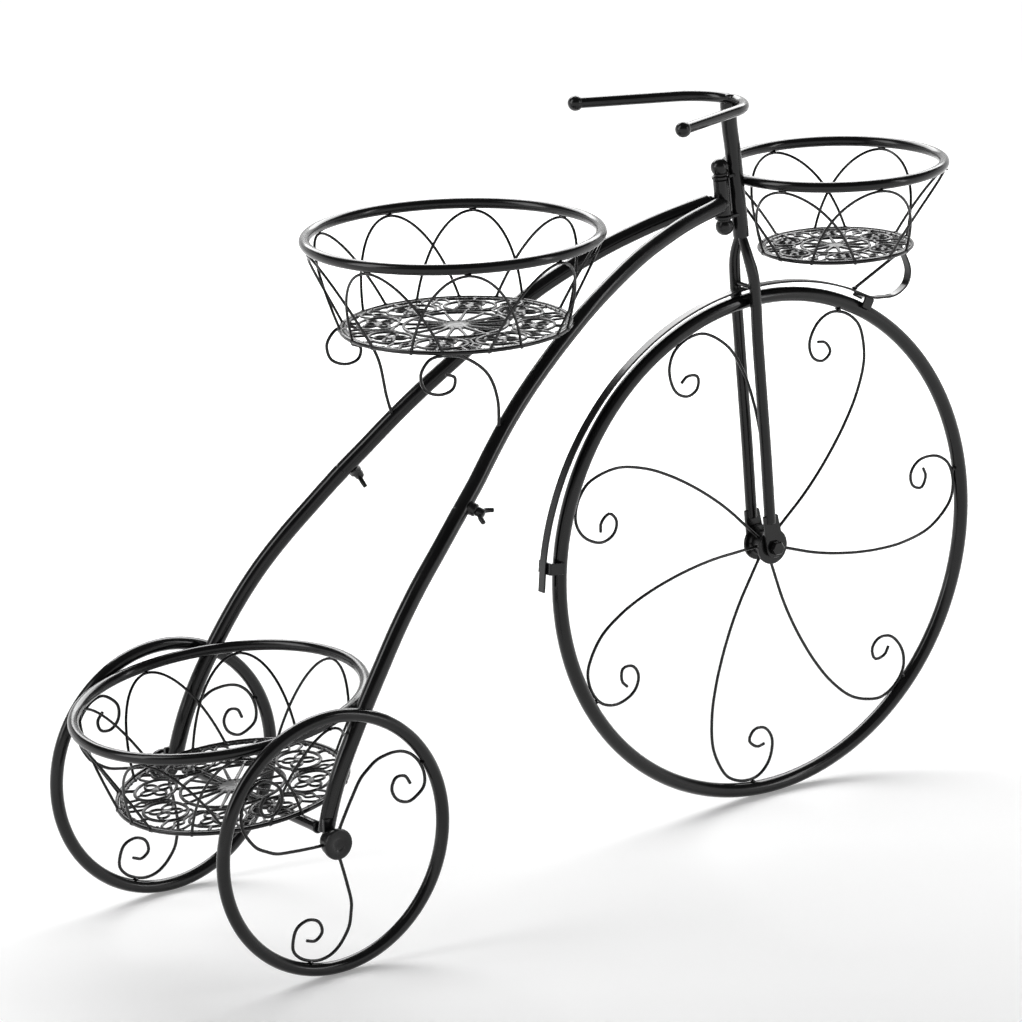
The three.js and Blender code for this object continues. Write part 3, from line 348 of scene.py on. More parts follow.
class Shape:
    """Corners and faces of one piece, gathered from simple runs."""

    SEAM_REACH = 2.2 * MM
    SLAB_SOFTENING = 0.4 * MM
    EYE_SOFTENING = 0.5 * MM
    BLOB_ROUGHNESS = 0.05

    def __init__(self):
        self.corners = []
        self.faces = []

    def grid(self, rows, closed_rows=False):
        """Joins closed rows of corners, each with as many as the last."""
        first, across = len(self.corners), len(rows[0])
        for row in rows:
            self.corners.extend(row)
        for i in range(len(rows) if closed_rows else len(rows) - 1):
            here, there = first + i * across, first + (i + 1) % len(rows) * across
            for j in range(across):
                k = (j + 1) % across
                self.faces.append((here + j, here + k, there + k, there + j))

    def fan(self, row, middle, flip=False):
        """Closes a row of corners onto one more corner."""
        first = len(self.corners)
        self.corners.extend([*row, middle])
        for j in range(len(row)):
            a, b = first + j, first + (j + 1) % len(row)
            self.faces.append((b, a, first + len(row)) if flip else (a, b, first + len(row)))

    def tube(self, points, diameter, sides, rounding, flatten=1, lift=None):
        """A tube along a line, with softly rounded ends. Diameter may be one value or one for each point."""
        sizes = each(diameter, len(points))
        ways = headings(points)
        up = lift or (UP if abs(ways[0].z) < 0.9 else Vector((1, 0, 0)))
        normal = (up - up.dot(ways[0]) * ways[0]).normalized()
        rows = []
        for point, way, size in zip(points, ways, sizes):
            from_last = lift or normal
            normal = (from_last - from_last.dot(way) * way).normalized()
            rows.append(self._section(point, normal, way.cross(normal), size / 2, sides, flatten))
        for end, way in ((0, -ways[0]), (-1, ways[-1])):
            self._close(rows[end], points[end], way * (sizes[end] / 2), rounding, end == 0)
        self.grid(rows)

    def _section(self, centre, normal, side, radius, sides, flatten):
        row = []
        for j in range(sides):
            angle = 2 * math.pi * j / sides
            row.append(centre + radius * (math.cos(angle) * flatten * normal + math.sin(angle) * side))
        return row

    def _close(self, row, centre, reach, rounding, flip, steps=3):
        """Rounds an end over and closes it. Reach is the tube's radius along its way out."""
        rows = [row]
        for step in range(1, steps + 1):
            angle = math.pi / 2 * step / steps
            inside = 1 - rounding * (1 - math.cos(angle))
            out = reach * rounding * math.sin(angle)
            rows.append([centre + (corner - centre) * inside + out for corner in row])
        self.grid(rows[::-1] if flip else rows)
        self.fan(rows[-1], centre + reach * rounding, flip)

    def loop(self, points, diameter, sides, flatten=1, lift=None):
        """A closed tube through evenly spaced points that lie near one plane."""
        count = len(points)
        middle = sum(points, Vector()) / count
        flat = lift or (points[0] - middle).cross(points[count // 4] - middle).normalized()
        rows = []
        for i, size in enumerate(each(diameter, count)):
            way = (points[(i + 1) % count] - points[i - 1]).normalized()
            side = way.cross(flat).normalized()
            rows.append(self._section(points[i], flat, side, size / 2, sides, flatten))
        self.grid(rows, closed_rows=True)

    def ring(self, radius, diameter, count, sides, seam, swell, turn=Matrix()):
        """A bent tube closed by one weld, whose seam swells a little."""
        angles = [360 * i / count for i in range(count)]
        sizes = []
        for angle in angles:
            away = math.radians(abs((angle - seam + 180) % 360 - 180)) * radius
            sizes.append(diameter * (1 + swell * math.exp(-((away / self.SEAM_REACH) ** 2))))
        self.loop([turn @ polar(radius, angle) for angle in angles], sizes, sides)

    def turned(self, profile, turn, sides=40):
        """A turned piece: (radius, distance along Z) pairs in millimetres, spun about Z and then placed."""
        self.grid([
            [turn @ polar(max(radius, 0.001) * MM, 360 * j / sides, along * MM) for j in range(sides)]
            for radius, along in profile])

    def slab(self, outline, low, high, turn, soften=SLAB_SOFTENING):
        """A flat plate with a softened edge, from an outline in its own XY plane."""
        middle = sum((Vector(corner) for corner in outline), Vector((0, 0))) / len(outline)
        rows = []
        for z, inset in soft_levels(low, high, soften):
            row = []
            for corner in outline:
                away = Vector(corner) - middle
                at = middle + away * (1 - inset / away.length)
                row.append(turn @ Vector((at.x, at.y, z)))
            rows.append(row)
        self.grid(rows)
        self.fan(rows[0], turn @ Vector((*middle, low)), flip=True)
        self.fan(rows[-1], turn @ Vector((*middle, high)))

    def eye(self, outline, hole, side, other_side, place):
        """An upright plate with a bolt hole. Its outline is (forward, up) pairs around the hole."""
        low, high = sorted((side, other_side))
        out = [Vector((x, 0, z)).normalized() for x, z in outline]
        rows = []
        for y, inset in soft_levels(low, high, self.EYE_SOFTENING):
            rows.append([place + Vector((x, y, z)) - way * inset for (x, z), way in zip(outline, out)])
        for y in (high, low):
            rows.append([place + way * hole + Vector((0, y, 0)) for way in out])
        self.grid(rows, closed_rows=True)

    def blob(self, centre, size, way, seed, rings=7, sides=14):
        """A small drop of weld, never quite the same twice."""
        rough = random.Random(seed)
        turn = facing(centre, way)
        rows = []
        for i in range(rings):
            angle = math.pi * (i + 0.02) / (rings - 1 + 0.04)
            row = []
            for j in range(sides):
                reach = (1 + rough.uniform(-self.BLOB_ROUGHNESS, self.BLOB_ROUGHNESS)) * math.sin(angle)
                at = polar(reach, 360 * j / sides)
                row.append(turn @ Vector((size[0] * at.x, size[1] * at.y, -size[2] * math.cos(angle))))
            rows.append(row)
        self.grid(rows)

    def moved(self, turn, start=0):
        """Moves what was gathered since start."""
        for i in range(start, len(self.corners)):
            self.corners[i] = turn @ self.corners[i]


SHARP_EDGE = 32


def make(name, shape, finish, body, node=None, slot="black_paint"):
    """Turns a shape into a piece that rides on a body and stands for a CAD node.

    The node is the piece's name without its last word, unless it is given.
    """
    mesh = bpy.data.meshes.new(name)
    mesh.from_pydata([tuple(corner) for corner in shape.corners], [], shape.faces)
    mesh.validate()
    piece = bpy.data.objects.new(name, mesh)
    bpy.context.collection.objects.link(piece)
    bpy.context.view_layer.objects.active = piece
    for face in mesh.polygons:
        face.use_smooth = True
    mesh.set_sharp_from_angle(angle=math.radians(SHARP_EDGE))
    mesh.materials.append(finish())
    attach(piece, body)
    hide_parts(node or name.rpartition("_")[0])


def turned_piece(name, profile, turn, finish, body, sides=40, **cad):
    """A piece that is one turned profile."""
    shape = Shape()
    shape.turned(profile, turn, sides)
    make(name, shape, finish, body, **cad)


# Shader nodes


class Tree:
    """A node tree, with short ways to add nodes to it."""

    def __init__(self, tree):
        self.nodes, self.links = tree.nodes, tree.links

    def join(self, value, socket):
        """Gives a socket another node's output, or a plain number or colour."""
        if isinstance(value, bpy.types.NodeSocket):
            self.links.new(value, socket)
        else:
            socket.default_value = (*value, 1) if socket.type == "RGBA" else value

    def add(self, kind, **values):
        """A new node, with its sockets filled by name, written with _ for a space."""
        node = self.nodes.new(f"ShaderNode{kind}")
        for label, value in values.items():
            self.join(value, node.inputs[label.replace("_", " ")])
        return node

    def place(self):
        return self.add("TexCoord").outputs["Object"]

    def noise(self, place, scale, detail, rough):
        return self.add("TexNoise", Vector=place, Scale=scale, Detail=detail, Roughness=rough).outputs["Fac"]

    def math(self, operation, *values, clamp=False):
        node = self.add("Math")
        node.operation = operation
        node.use_clamp = clamp
        for socket, value in zip(node.inputs, values):
            self.join(value, socket)
        return node.outputs[0]

    def ramp(self, value, low, high, to_low=0.0, to_high=1.0):
        node = self.add("MapRange", Value=value, From_Min=low, From_Max=high, To_Min=to_low, To_Max=to_high)
        return node.outputs["Result"]

    def mix(self, mask, first, second):
        node = self.add("Mix")
        node.data_type = "RGBA"
        for i, value in ((0, mask), (6, first), (7, second)):
            self.join(value, node.inputs[i])
        return node.outputs[2]

    def effect(self, name, value):
        """One of the shared effects with its setting. Its group is built once."""
        build, setting, default, output = EFFECTS[name]
        group = bpy.data.node_groups.get(name)
        if not group:
            group = bpy.data.node_groups.new(name, "ShaderNodeTree")
            socket = group.interface.new_socket(name=setting, in_out="INPUT", socket_type="NodeSocketFloat")
            socket.default_value = default
            group.interface.new_socket(name=output, in_out="OUTPUT", socket_type="NodeSocketFloat")
            given = group.nodes.new("NodeGroupInput").outputs[setting]
            inside = Tree(group)
            inside.join(build(inside, given), group.nodes.new("NodeGroupOutput").inputs[output])
        node = self.add("Group")
        node.node_tree = group
        node.inputs[setting].default_value = value
        return node.outputs[output]


def orange_peel(tree, ripple_scale):
    """The fine ripple that sprayed enamel dries with, and the slow waves under it."""
    place = tree.place()
    fine = tree.noise(place, ripple_scale, 2, 0.4)
    slow = tree.noise(place, 95, 2, 0.5)
    return tree.math("MULTIPLY_ADD", slow, 0.8, fine)


def settled_dust(tree, amount):
    """Fine dust on faces that look up, broken by wiped patches."""
    parts = tree.add("SeparateXYZ", Vector=tree.add("NewGeometry").outputs["Normal"])
    upward = tree.ramp(parts.outputs["Z"], 0.35, 1)
    place = tree.place()
    patches = tree.ramp(tree.noise(place, 38, 4, 0.6), 0.35, 0.75)
    specks = tree.ramp(tree.noise(place, 900, 2, 0.7), 0.5, 0.8)
    lying = tree.math("MULTIPLY", upward, patches)
    broken = tree.math("MULTIPLY_ADD", specks, 0.6, 0.4)
    return tree.math("MULTIPLY", tree.math("MULTIPLY", lying, broken), amount, clamp=True)


def thin_paint(tree, cloud_scale):
    """Where sprayed paint lies thin and thick: slow clouds along the tubes."""
    return tree.ramp(tree.noise(tree.place(), cloud_scale, 3, 0.55), 0.3, 0.75)


EFFECTS = {
    "Orange Peel": (orange_peel, "Ripple Scale", 420, "Height"),
    "Settled Dust": (settled_dust, "Amount", 0.1, "Mask"),
    "Thin Paint": (thin_paint, "Cloud Scale", 26, "Mask"),
}

# Materials


def material(name, build):
    """A way to ask for a material, which is built the first time."""
    def finish():
        made = bpy.data.materials.get(name)
        if not made:
            made = bpy.data.materials.new(name)
            made.use_nodes = True
            build(Tree(made.node_tree), made.node_tree.nodes["Principled BSDF"].inputs)
        return made
    return finish


ENAMEL_SHEEN = {"IOR": 1.5, "Specular IOR Level": 0.3, "Coat Weight": 0.15, "Coat Roughness": 0.06}
RELIEF_DEPTH = 0.4 * MM
# The floor turns white between these distances, with these strengths of its glow
GLOW_DISTANCES = (0.6, 3)
GLOW_STRENGTHS = (0.22, 0.85)


def enamel(name, ripple, bump, rough, clouds, dust, casting=0.0):
    """Gloss black enamel, sprayed over steel. The shares rough and dust are of the paint's own settings."""
    def build(tree, shader):
        paint = bpy.context.scene.planter_paint
        for label, value in ENAMEL_SHEEN.items():
            shader[label].default_value = value
        thin = tree.effect("Thin Paint", clouds)
        mask = tree.effect("Settled Dust", dust * paint.dust_amount)
        body = tree.mix(thin, paint.enamel, paint.thin_enamel)
        tree.join(tree.mix(mask, body, paint.dust), shader["Base Color"])
        worn = tree.math("MULTIPLY_ADD", thin, 0.07, rough * paint.roughness)
        tree.join(tree.math("MULTIPLY_ADD", mask, 0.9, worn), shader["Roughness"])
        height = tree.effect("Orange Peel", ripple)
        if casting:
            pits = tree.noise(tree.place(), 700, 3, 0.65)
            height = tree.math("MULTIPLY_ADD", pits, casting, height)
        relief = tree.add("Bump", Strength=bump, Distance=RELIEF_DEPTH, Height=height)
        tree.join(relief.outputs["Normal"], shader["Normal"])
    return material(name, build)


def nylon(tree, shader):
    """Cream nylon for the bush that the large wheel turns on."""
    mask = tree.effect("Thin Paint", 300)
    tree.join(tree.mix(mask, (0.7, 0.68, 0.6), (0.6, 0.57, 0.5)), shader["Base Color"])
    tree.join(tree.math("MULTIPLY_ADD", mask, 0.1, 0.45), shader["Roughness"])


def paper(tree, shader):
    """The studio floor. To the camera and in reflections it turns to plain white with distance."""
    fixed = (
        ("Base Color", bpy.context.scene.planter_studio.floor), ("Roughness", 0.9), ("Specular IOR Level", 0),
        ("Emission Color", (1, 1, 1)))
    for label, value in fixed:
        tree.join(value, shader[label])
    path = tree.add("LightPath").outputs
    seen = tree.math("MAXIMUM", path["Is Camera Ray"], path["Is Glossy Ray"])
    seen = tree.math("MAXIMUM", seen, path["Is Transmission Ray"])
    away = tree.add("VectorMath", Vector=tree.place())
    away.operation = "LENGTH"
    glow = tree.ramp(away.outputs["Value"], *GLOW_DISTANCES, *GLOW_STRENGTHS)
    tree.join(tree.math("MULTIPLY", seen, glow), shader["Emission Strength"])


tube_enamel = enamel("tube_enamel", ripple=420, bump=0.05, rough=1, clouds=26, dust=2)
wire_enamel = enamel("wire_enamel", ripple=700, bump=0.06, rough=1.2, clouds=60, dust=2)
cast_enamel = enamel("cast_enamel", ripple=520, bump=0.4, rough=1.5, clouds=80, dust=1, casting=1.4)
fitting_enamel = enamel("fitting_enamel", ripple=600, bump=0.18, rough=1.3, clouds=70, dust=3, casting=0.5)
bush_nylon = material("bush_nylon", nylon)
studio_paper = material("studio_paper", paper)

# Lines and places that several pieces follow


def stay_line(side):
    spread = STAY_FOOT_OFFSET - STAY_HEAD_OFFSET
    points = [between(REAR_AXLE, STAY_HEAD, forward, up, SIDES[side] * (STAY_HEAD_OFFSET + spread * out))
              for forward, out, up in STAY_SHARES]
    return smooth_line(points, STAY_STEPS)


def clamp_place(side):
    """The clamp's own axes: Z out of the stay along the screw, Y up the stay."""
    line = stay_line(side)
    at = (STAY_JOINT_SHARE + CLAMP_UP_THE_STAY / line_length(line)) * STAY_STEPS
    below, nearest = math.floor(at), round(at)
    origin = line[below].lerp(line[below + 1], at - below)
    along = (line[nearest + 1] - line[nearest - 1]).normalized()
    level = Vector((0, 1, 0)) - along.y * along
    down = along.cross(level.normalized()).normalized()
    if down.z > 0:
        down.negate()
    out = Matrix.Rotation(math.radians(CLAMP_TURNS[side]), 3, along) @ down
    across = along.cross(out).normalized()
    turn = Matrix((across, along, out)).transposed().to_4x4()
    return Matrix.Translation(origin) @ turn


def steerer_line():
    return smooth_line([between(STEERER_BOTTOM, STEERER_TOP, back, up) for up, back in STEERER_SHARES], 60)


def steerer_x(z):
    return min(steerer_line(), key=lambda point: abs(point.z - z)).x


def blade_line(side, count):
    points = [between(CROWN, FRONT_AXLE, forward, down, SIDES[side] * BLADE_OFFSET * out)
              for down, forward, out in BLADE_SHARES]
    return smooth_line(points, count)


def fender_reach(degrees):
    """The strip's own distance from the axle, which changes a little on its way round."""
    around = (degrees - FENDER_ANGLES[0]) / (FENDER_ANGLES[1] - FENDER_ANGLES[0])
    for (low, start), (high, end) in zip(FENDER_SHARES, FENDER_SHARES[1:]):
        if around <= high:
            return FENDER_RADIUS * (start + (end - start) * max(around - low, 0) / (high - low))
    return FENDER_RADIUS * FENDER_SHARES[-1][1]


def curl_points():
    """The fender's front end, which curls up under the front basket's base ring."""
    start = FRONT_AXLE + upright(fender_reach(FENDER_ANGLES[1]), FENDER_ANGLES[1])
    place, base = BASKETS["front"]["place"], BASKETS["front"]["base"]
    end = place + Vector((base, 0, -BASE_RING_RADIUS - WELD_GAP))
    return [*(between(start, end, x, z) for x, z in CURL_SHARES), end]


def along_head(distance):
    return HEAD_MIDDLE + HEAD_AXIS * distance


def head_turn(distance, way=1):
    """Axes with Z up the head pin, or down it."""
    return facing(along_head(distance * way), HEAD_AXIS * way)


def rear_axle(side):
    return REAR_AXLE + Vector((0, SIDES[side] * REAR_WHEEL_OFFSET, 0))


def axle_turn(place, way=-1):
    """Axes with Z out along an axle, to the right or to the left."""
    return Matrix.Translation(place) @ Matrix.Rotation(math.radians(-90 * way), 4, "X")


def basket_turn(basket):
    return Matrix.Translation(basket["place"]) @ Matrix.Rotation(-math.radians(basket["tilt"]), 4, "Y")


# The steps. Profiles and small outlines are in millimetres.


class PlanterOperator:
    """What every step of the planter shares."""

    bl_options = {"REGISTER", "UNDO"}

    def execute(self, context):
        self.build(context.scene)
        return {"FINISHED"}


class PLANTER_OT_wheel_rims(PlanterOperator, bpy.types.Operator):
    """Bends and welds the rim tubes of the three wheels"""

    bl_idname = "planter.wheel_rims"
    bl_label = "Wheel rims"

    FRONT_SEAM = -78
    REAR_SEAMS = {"right": 60, "left": 118}

    def build(self, scene):
        sizes = scene.planter_wheels
        front = sizes.front_diameter, sizes.front_tube
        rear = sizes.rear_diameter, sizes.rear_tube
        self.rim("front_wheel_rim", "front_wheel", FRONT_AXLE, *front, self.FRONT_SEAM)
        for side, seam in self.REAR_SEAMS.items():
            self.rim(f"rear_wheel_rim_{side}", f"rear_wheel_{side}", rear_axle(side), *rear, seam)

    def rim(self, node, body, axle, diameter, tube, seam):
        shape = Shape()
        shape.ring((diameter - tube) / 2, tube, 192, 24, seam, 0.03, axle_turn(axle))
        make(f"{node}_tube", shape, tube_enamel, body)


class PLANTER_OT_spokes(PlanterOperator, bpy.types.Operator):
    """Curls the wire spokes and welds each one to its rim and hub"""

    bl_idname = "planter.spokes"
    bl_label = "Curled spokes"

    def build(self, scene):
        sizes = scene.planter_wheels
        wire = sizes.spoke_wire
        reach = sizes.front_diameter / 2 - sizes.front_tube - WELD_GAP - wire / 2
        front = FRONT_AXLE, FRONT_SPOKE_SHARES, FRONT_SPOKE_TURN, FRONT_SPOKE_START, reach, wire
        for i, angle in enumerate(FRONT_SPOKE_ANGLES, 1):
            self.spoke(f"front_spoke_{i}", "front_wheel", angle, *front)
        reach = sizes.rear_diameter / 2 - sizes.rear_tube - WELD_GAP - wire / 2
        for side, angles in REAR_SPOKE_ANGLES.items():
            rear = rear_axle(side), REAR_SPOKE_SHARES, REAR_SPOKE_TURN, REAR_SPOKE_START, reach, wire
            for i, angle in enumerate(angles, 1):
                self.spoke(f"rear_spoke_{side}_{i}", f"rear_wheel_{side}", angle, *rear)

    def spoke(self, node, body, angle, axle, shares, turn, hub, reach, wire):
        places = [(hub + WELD_GAP, shares[0][1] * turn)]
        places += [(out * reach, around * turn) for out, around in shares]
        points = [axle + upright(radius, degrees + angle) for radius, degrees in places]
        shape = Shape()
        shape.tube(smooth_line(points, 110), wire, 12, 0.6)
        touch = axle + upright(reach + wire * 0.35, angle)
        weld = wire * 1.5, wire * 0.62, wire * 0.42
        shape.blob(touch, weld, upright(1, angle), len(node) + int(angle))
        make(f"{node}_wire", shape, wire_enamel, body)


class PLANTER_OT_hubs(PlanterOperator, bpy.types.Operator):
    """Turns the hubs, the bush and the bolts that the wheels run on"""

    bl_idname = "planter.hubs"
    bl_label = "Hubs and bolts"

    FRONT_HUB_HALF = [
        (6.85, -12), (15.5, -12), (16.5, -12), (17, -11.5), (17, -9.5), (16.5, -9), (12.5, -8.6), (11, -7.4)]
    BUSH = [(4.5, -12), (6.5, -12), (6.5, 12), (4.5, 12), (4.5, -12)]
    REAR_HUB = [
        (3.75, -7), (7.4, -7), (8, -6.4), (8, -4.8), (9, -4), (11.4, -4), (12, -3.4), (12, 2.4), (11.4, 3),
        (3.75, 3), (3.75, -7)]
    REAR_BOLT = [
        (0, -13.5), (2.6, -13.5), (3.2, -12.9), (3.2, 3.5), (13.3, 3.5), (14, 4.1), (14, 6.6), (13.7, 7.4),
        (12.8, 7.9), (11.4, 8), (6.2, 7.7), (5.6, 7.3), (4.6, 6.9), (0, 6.8)]
    # Distance along the axle, half width over the corners, and the radius that cuts the corners off
    HEXAGON = ((0, 6.6, 6.501), (0.7, 7, 6.895), (4.2, 7, 6.895), (5, 6.1, 6.35))
    HEXAGON_SIDES = 48
    NUT_HOLE = 4.35
    BOLT_FACE = 16.5

    def build(self, scene):
        axle = axle_turn(FRONT_AXLE)
        half = self.FRONT_HUB_HALF
        hub = [*half, *((radius, -along) for radius, along in half[::-1]), half[0]]
        turned_piece("front_hub_shell", hub, axle, fitting_enamel, "front_wheel", 64)
        turned_piece(
            "front_hub_sleeve", self.BUSH, axle, bush_nylon, "front_wheel", node="front_hub_bush",
            slot="bush_plastic")
        for side, way in SIDES.items():
            out = axle_turn(rear_axle(side), way)
            body = f"rear_wheel_{side}"
            turned_piece(f"rear_hub_{side}_shell", self.REAR_HUB, out, fitting_enamel, body, 48)
            turned_piece(f"rear_wheel_bolt_{side}_turned", self.REAR_BOLT, out, fitting_enamel, "frame", 48)
        self.axle_bolt()
        self.axle_nut()

    def hexagon(self, out):
        rows = []
        for along, reach, limit in self.HEXAGON:
            row = []
            for j in range(self.HEXAGON_SIDES):
                angle = 360 * j / self.HEXAGON_SIDES
                flat = reach * math.cos(math.pi / 6) / math.cos(math.radians(angle % 60 - 30))
                row.append(out @ polar(min(flat, limit) * MM, angle, (self.BOLT_FACE + along) * MM))
            rows.append(row)
        return rows

    def axle_bolt(self):
        """The hexagon head and the shank through the fork's ends."""
        out = axle_turn(FRONT_AXLE)
        rows = self.hexagon(out)
        face, height = self.BOLT_FACE, self.HEXAGON[-1][0]
        shape = Shape()
        shape.grid(rows)
        shape.fan(rows[-1], out @ Vector(mm(0, 0, face + height)))
        shape.fan(rows[0], out @ Vector(mm(0, 0, face)), flip=True)
        end = -face - height - 0.3
        shape.turned([(4, face), (4, end + 0.8), (3.4, end), (0, end)], out, 32)
        make("front_axle_bolt_hexagon", shape, fitting_enamel, "fork")

    def axle_nut(self):
        out = axle_turn(FRONT_AXLE, 1)
        rows = self.hexagon(out)
        for along in (self.HEXAGON[-1][0], 0):
            rows.append([
                out @ polar(self.NUT_HOLE * MM, 360 * j / self.HEXAGON_SIDES, (self.BOLT_FACE + along) * MM)
                for j in range(self.HEXAGON_SIDES)])
        shape = Shape()
        shape.grid(rows, closed_rows=True)
        make("front_axle_nut_hexagon", shape, fitting_enamel, "fork")


class PLANTER_OT_stays(PlanterOperator, bpy.types.Operator):
    """Bends the two pairs of stays and the tube that joins their feet"""

    bl_idname = "planter.stays"
    bl_label = "Stays"

    SIDES_ROUND = 28
    END_ROUNDING = 0.12
    LOWER_STEPS = 90
    UPPER_STEPS = 110

    def build(self, scene):
        sizes = scene.planter_frame
        for side, way in SIDES.items():
            self.stay(side, way, sizes.stay_tube)
        self.cross_tube(sizes)

    def stay(self, side, way, tube):
        line = stay_line(side)
        foot = next(i for i, point in enumerate(line) if point.z > REAR_AXLE.z + STAY_FOOT_RISE)
        lower = part_of(line, foot / STAY_STEPS, STAY_JOINT_SHARE, self.LOWER_STEPS)
        # The lower tube's mouth is rolled out a little, so the joint shows
        rolled = [tube * (1 + 0.025 * max(0, 1 - (self.LOWER_STEPS - i) / 4)) for i in range(len(lower))]
        shape = Shape()
        shape.tube(lower, rolled, self.SIDES_ROUND, self.END_ROUNDING)
        self.lug(shape, way)
        make(f"lower_stay_{side}_tube", shape, tube_enamel, "frame")
        gap = WELD_GAP / line_length(line)
        upper = part_of(line, STAY_JOINT_SHARE + gap, STAY_END_SHARE, self.UPPER_STEPS)
        shape = Shape()
        shape.tube(upper, tube, self.SIDES_ROUND, self.END_ROUNDING)
        weld = line[-1] + Vector(mm(-6.5, way * 1.5, -1.5))
        shape.blob(weld, mm(6, 5.4, 4), Vector((0, way, 0.2)), 7 + way)
        make(f"upper_stay_{side}_tube", shape, tube_enamel, "frame")

    def lug(self, shape, way):
        """The flat eye under a stay's foot, which takes the wheel's bolt."""
        radius, hole, thickness = mm(8.5, 3.5, 3.5)
        outline = [mm(x, z) for x, z in ((5, 20), (5, 14), (5, 8.5))]
        outline += arc(radius, 48, -228, 24)
        outline += [(-x, z) for x, z in outline[2::-1]]
        outer = STAY_FOOT_OFFSET + 7.5 * MM
        shape.eye(outline, hole, outer * way, (outer - thickness) * way, REAR_AXLE)

    def cross_tube(self, sizes):
        steps = 40
        place = REAR_AXLE + Vector(mm(0, 0, 7.6))
        reach = Vector((0, STAY_FOOT_OFFSET - sizes.stay_tube / 2 - 2.6 * MM, 0))
        swells = [0.14 * math.exp(-((min(i, steps - i) / 0.9) ** 2)) for i in range(steps + 1)]
        shape = Shape()
        widths = [sizes.cross_tube * (1 + swell) for swell in swells]
        shape.tube(straight(place - reach, place + reach, steps), widths, 24, 0.25)
        make("rear_cross_tube_bar", shape, tube_enamel, "frame")


class PLANTER_OT_clamps(PlanterOperator, bpy.types.Operator):
    """Forges the clamp bosses and the wing screws that lock the stays"""

    bl_idname = "planter.clamps"
    bl_label = "Clamps and wing screws"

    HOLE = 3.3
    THREAD = (3, 2.65)
    THREAD_TURNS = 5
    WING_LOWER = ((0, 2.2), (3.6, 2.8), (7.4, 4.4), (10.6, 7.4), (12.4, 9.8))
    WING_UPPER = ((0, 6.8), (3, 7.4), (5.6, 9), (7.8, 11.4), (9.2, 12.9))
    WING_STEPS = 20

    def build(self, scene):
        stay = scene.planter_frame.stay_tube / 2 / MM
        low, top = stay - 2.2, stay + 5
        hole = self.HOLE
        boss = [
            (hole, low), (6.9, low), (6.4, low + 1.9), (6, low + 3.2), (6, top - 0.6), (5.4, top),
            (hole, top), (hole, low)]
        for side in SIDES:
            turn = clamp_place(side)
            turned_piece(f"clamp_boss_{side}_ring", boss, turn, fitting_enamel, "frame", 36)
            self.wing_screw(side, turn @ Matrix.Rotation(math.radians(WING_TURNS[side]), 4, "Z"), stay)

    def wing_screw(self, side, turn, stay):
        seat, tip = stay + 5.3, stay - 1.2
        top = seat + 8
        crest, root = self.THREAD
        profile = [(0, tip), (2.5, tip), (crest, tip + 0.5)]
        for i in range(self.THREAD_TURNS):
            profile += [(crest, tip + 0.5 + i), (root, tip + 1 + i)]
        profile += [(crest, seat), (4, seat), (4.5, seat + 0.7), (4.4, top - 2.2), (3.9, top - 0.8)]
        profile += [(2.8, top - 0.15), (0, top)]
        shape = Shape()
        shape.turned(profile, turn, 28)
        for way in (-1, 1):
            start = len(shape.corners)
            self.ear(shape, way, seat * MM)
            shape.moved(turn, start)
        make(f"wing_screw_{side}_forged", shape, fitting_enamel, f"wing_screw_{side}")

    def ear(self, shape, way, seat):
        """One of the two ears, as wide as the gap between its lower and upper outlines."""
        middle, heights = [], []
        for (x0, z0), (x1, z1) in zip(self.WING_LOWER, self.WING_UPPER):
            middle.append(Vector((way * (x0 + x1) / 2 * MM, 0, seat + (z0 + z1) / 2 * MM)))
            heights.append(math.hypot(x1 - x0, z1 - z0) * MM)
        steps = self.WING_STEPS
        stepped = [heights[round(i * (len(heights) - 1) / steps)] for i in range(steps + 1)]
        sizes = []
        for i in range(steps + 1):
            near = stepped[max(i - 3, 0):i + 4]
            sizes.append(sum(near) / len(near))
        shape.tube(smooth_line(middle, steps), sizes, 20, 0.35, 0.9, Vector((0, 1, 0)))


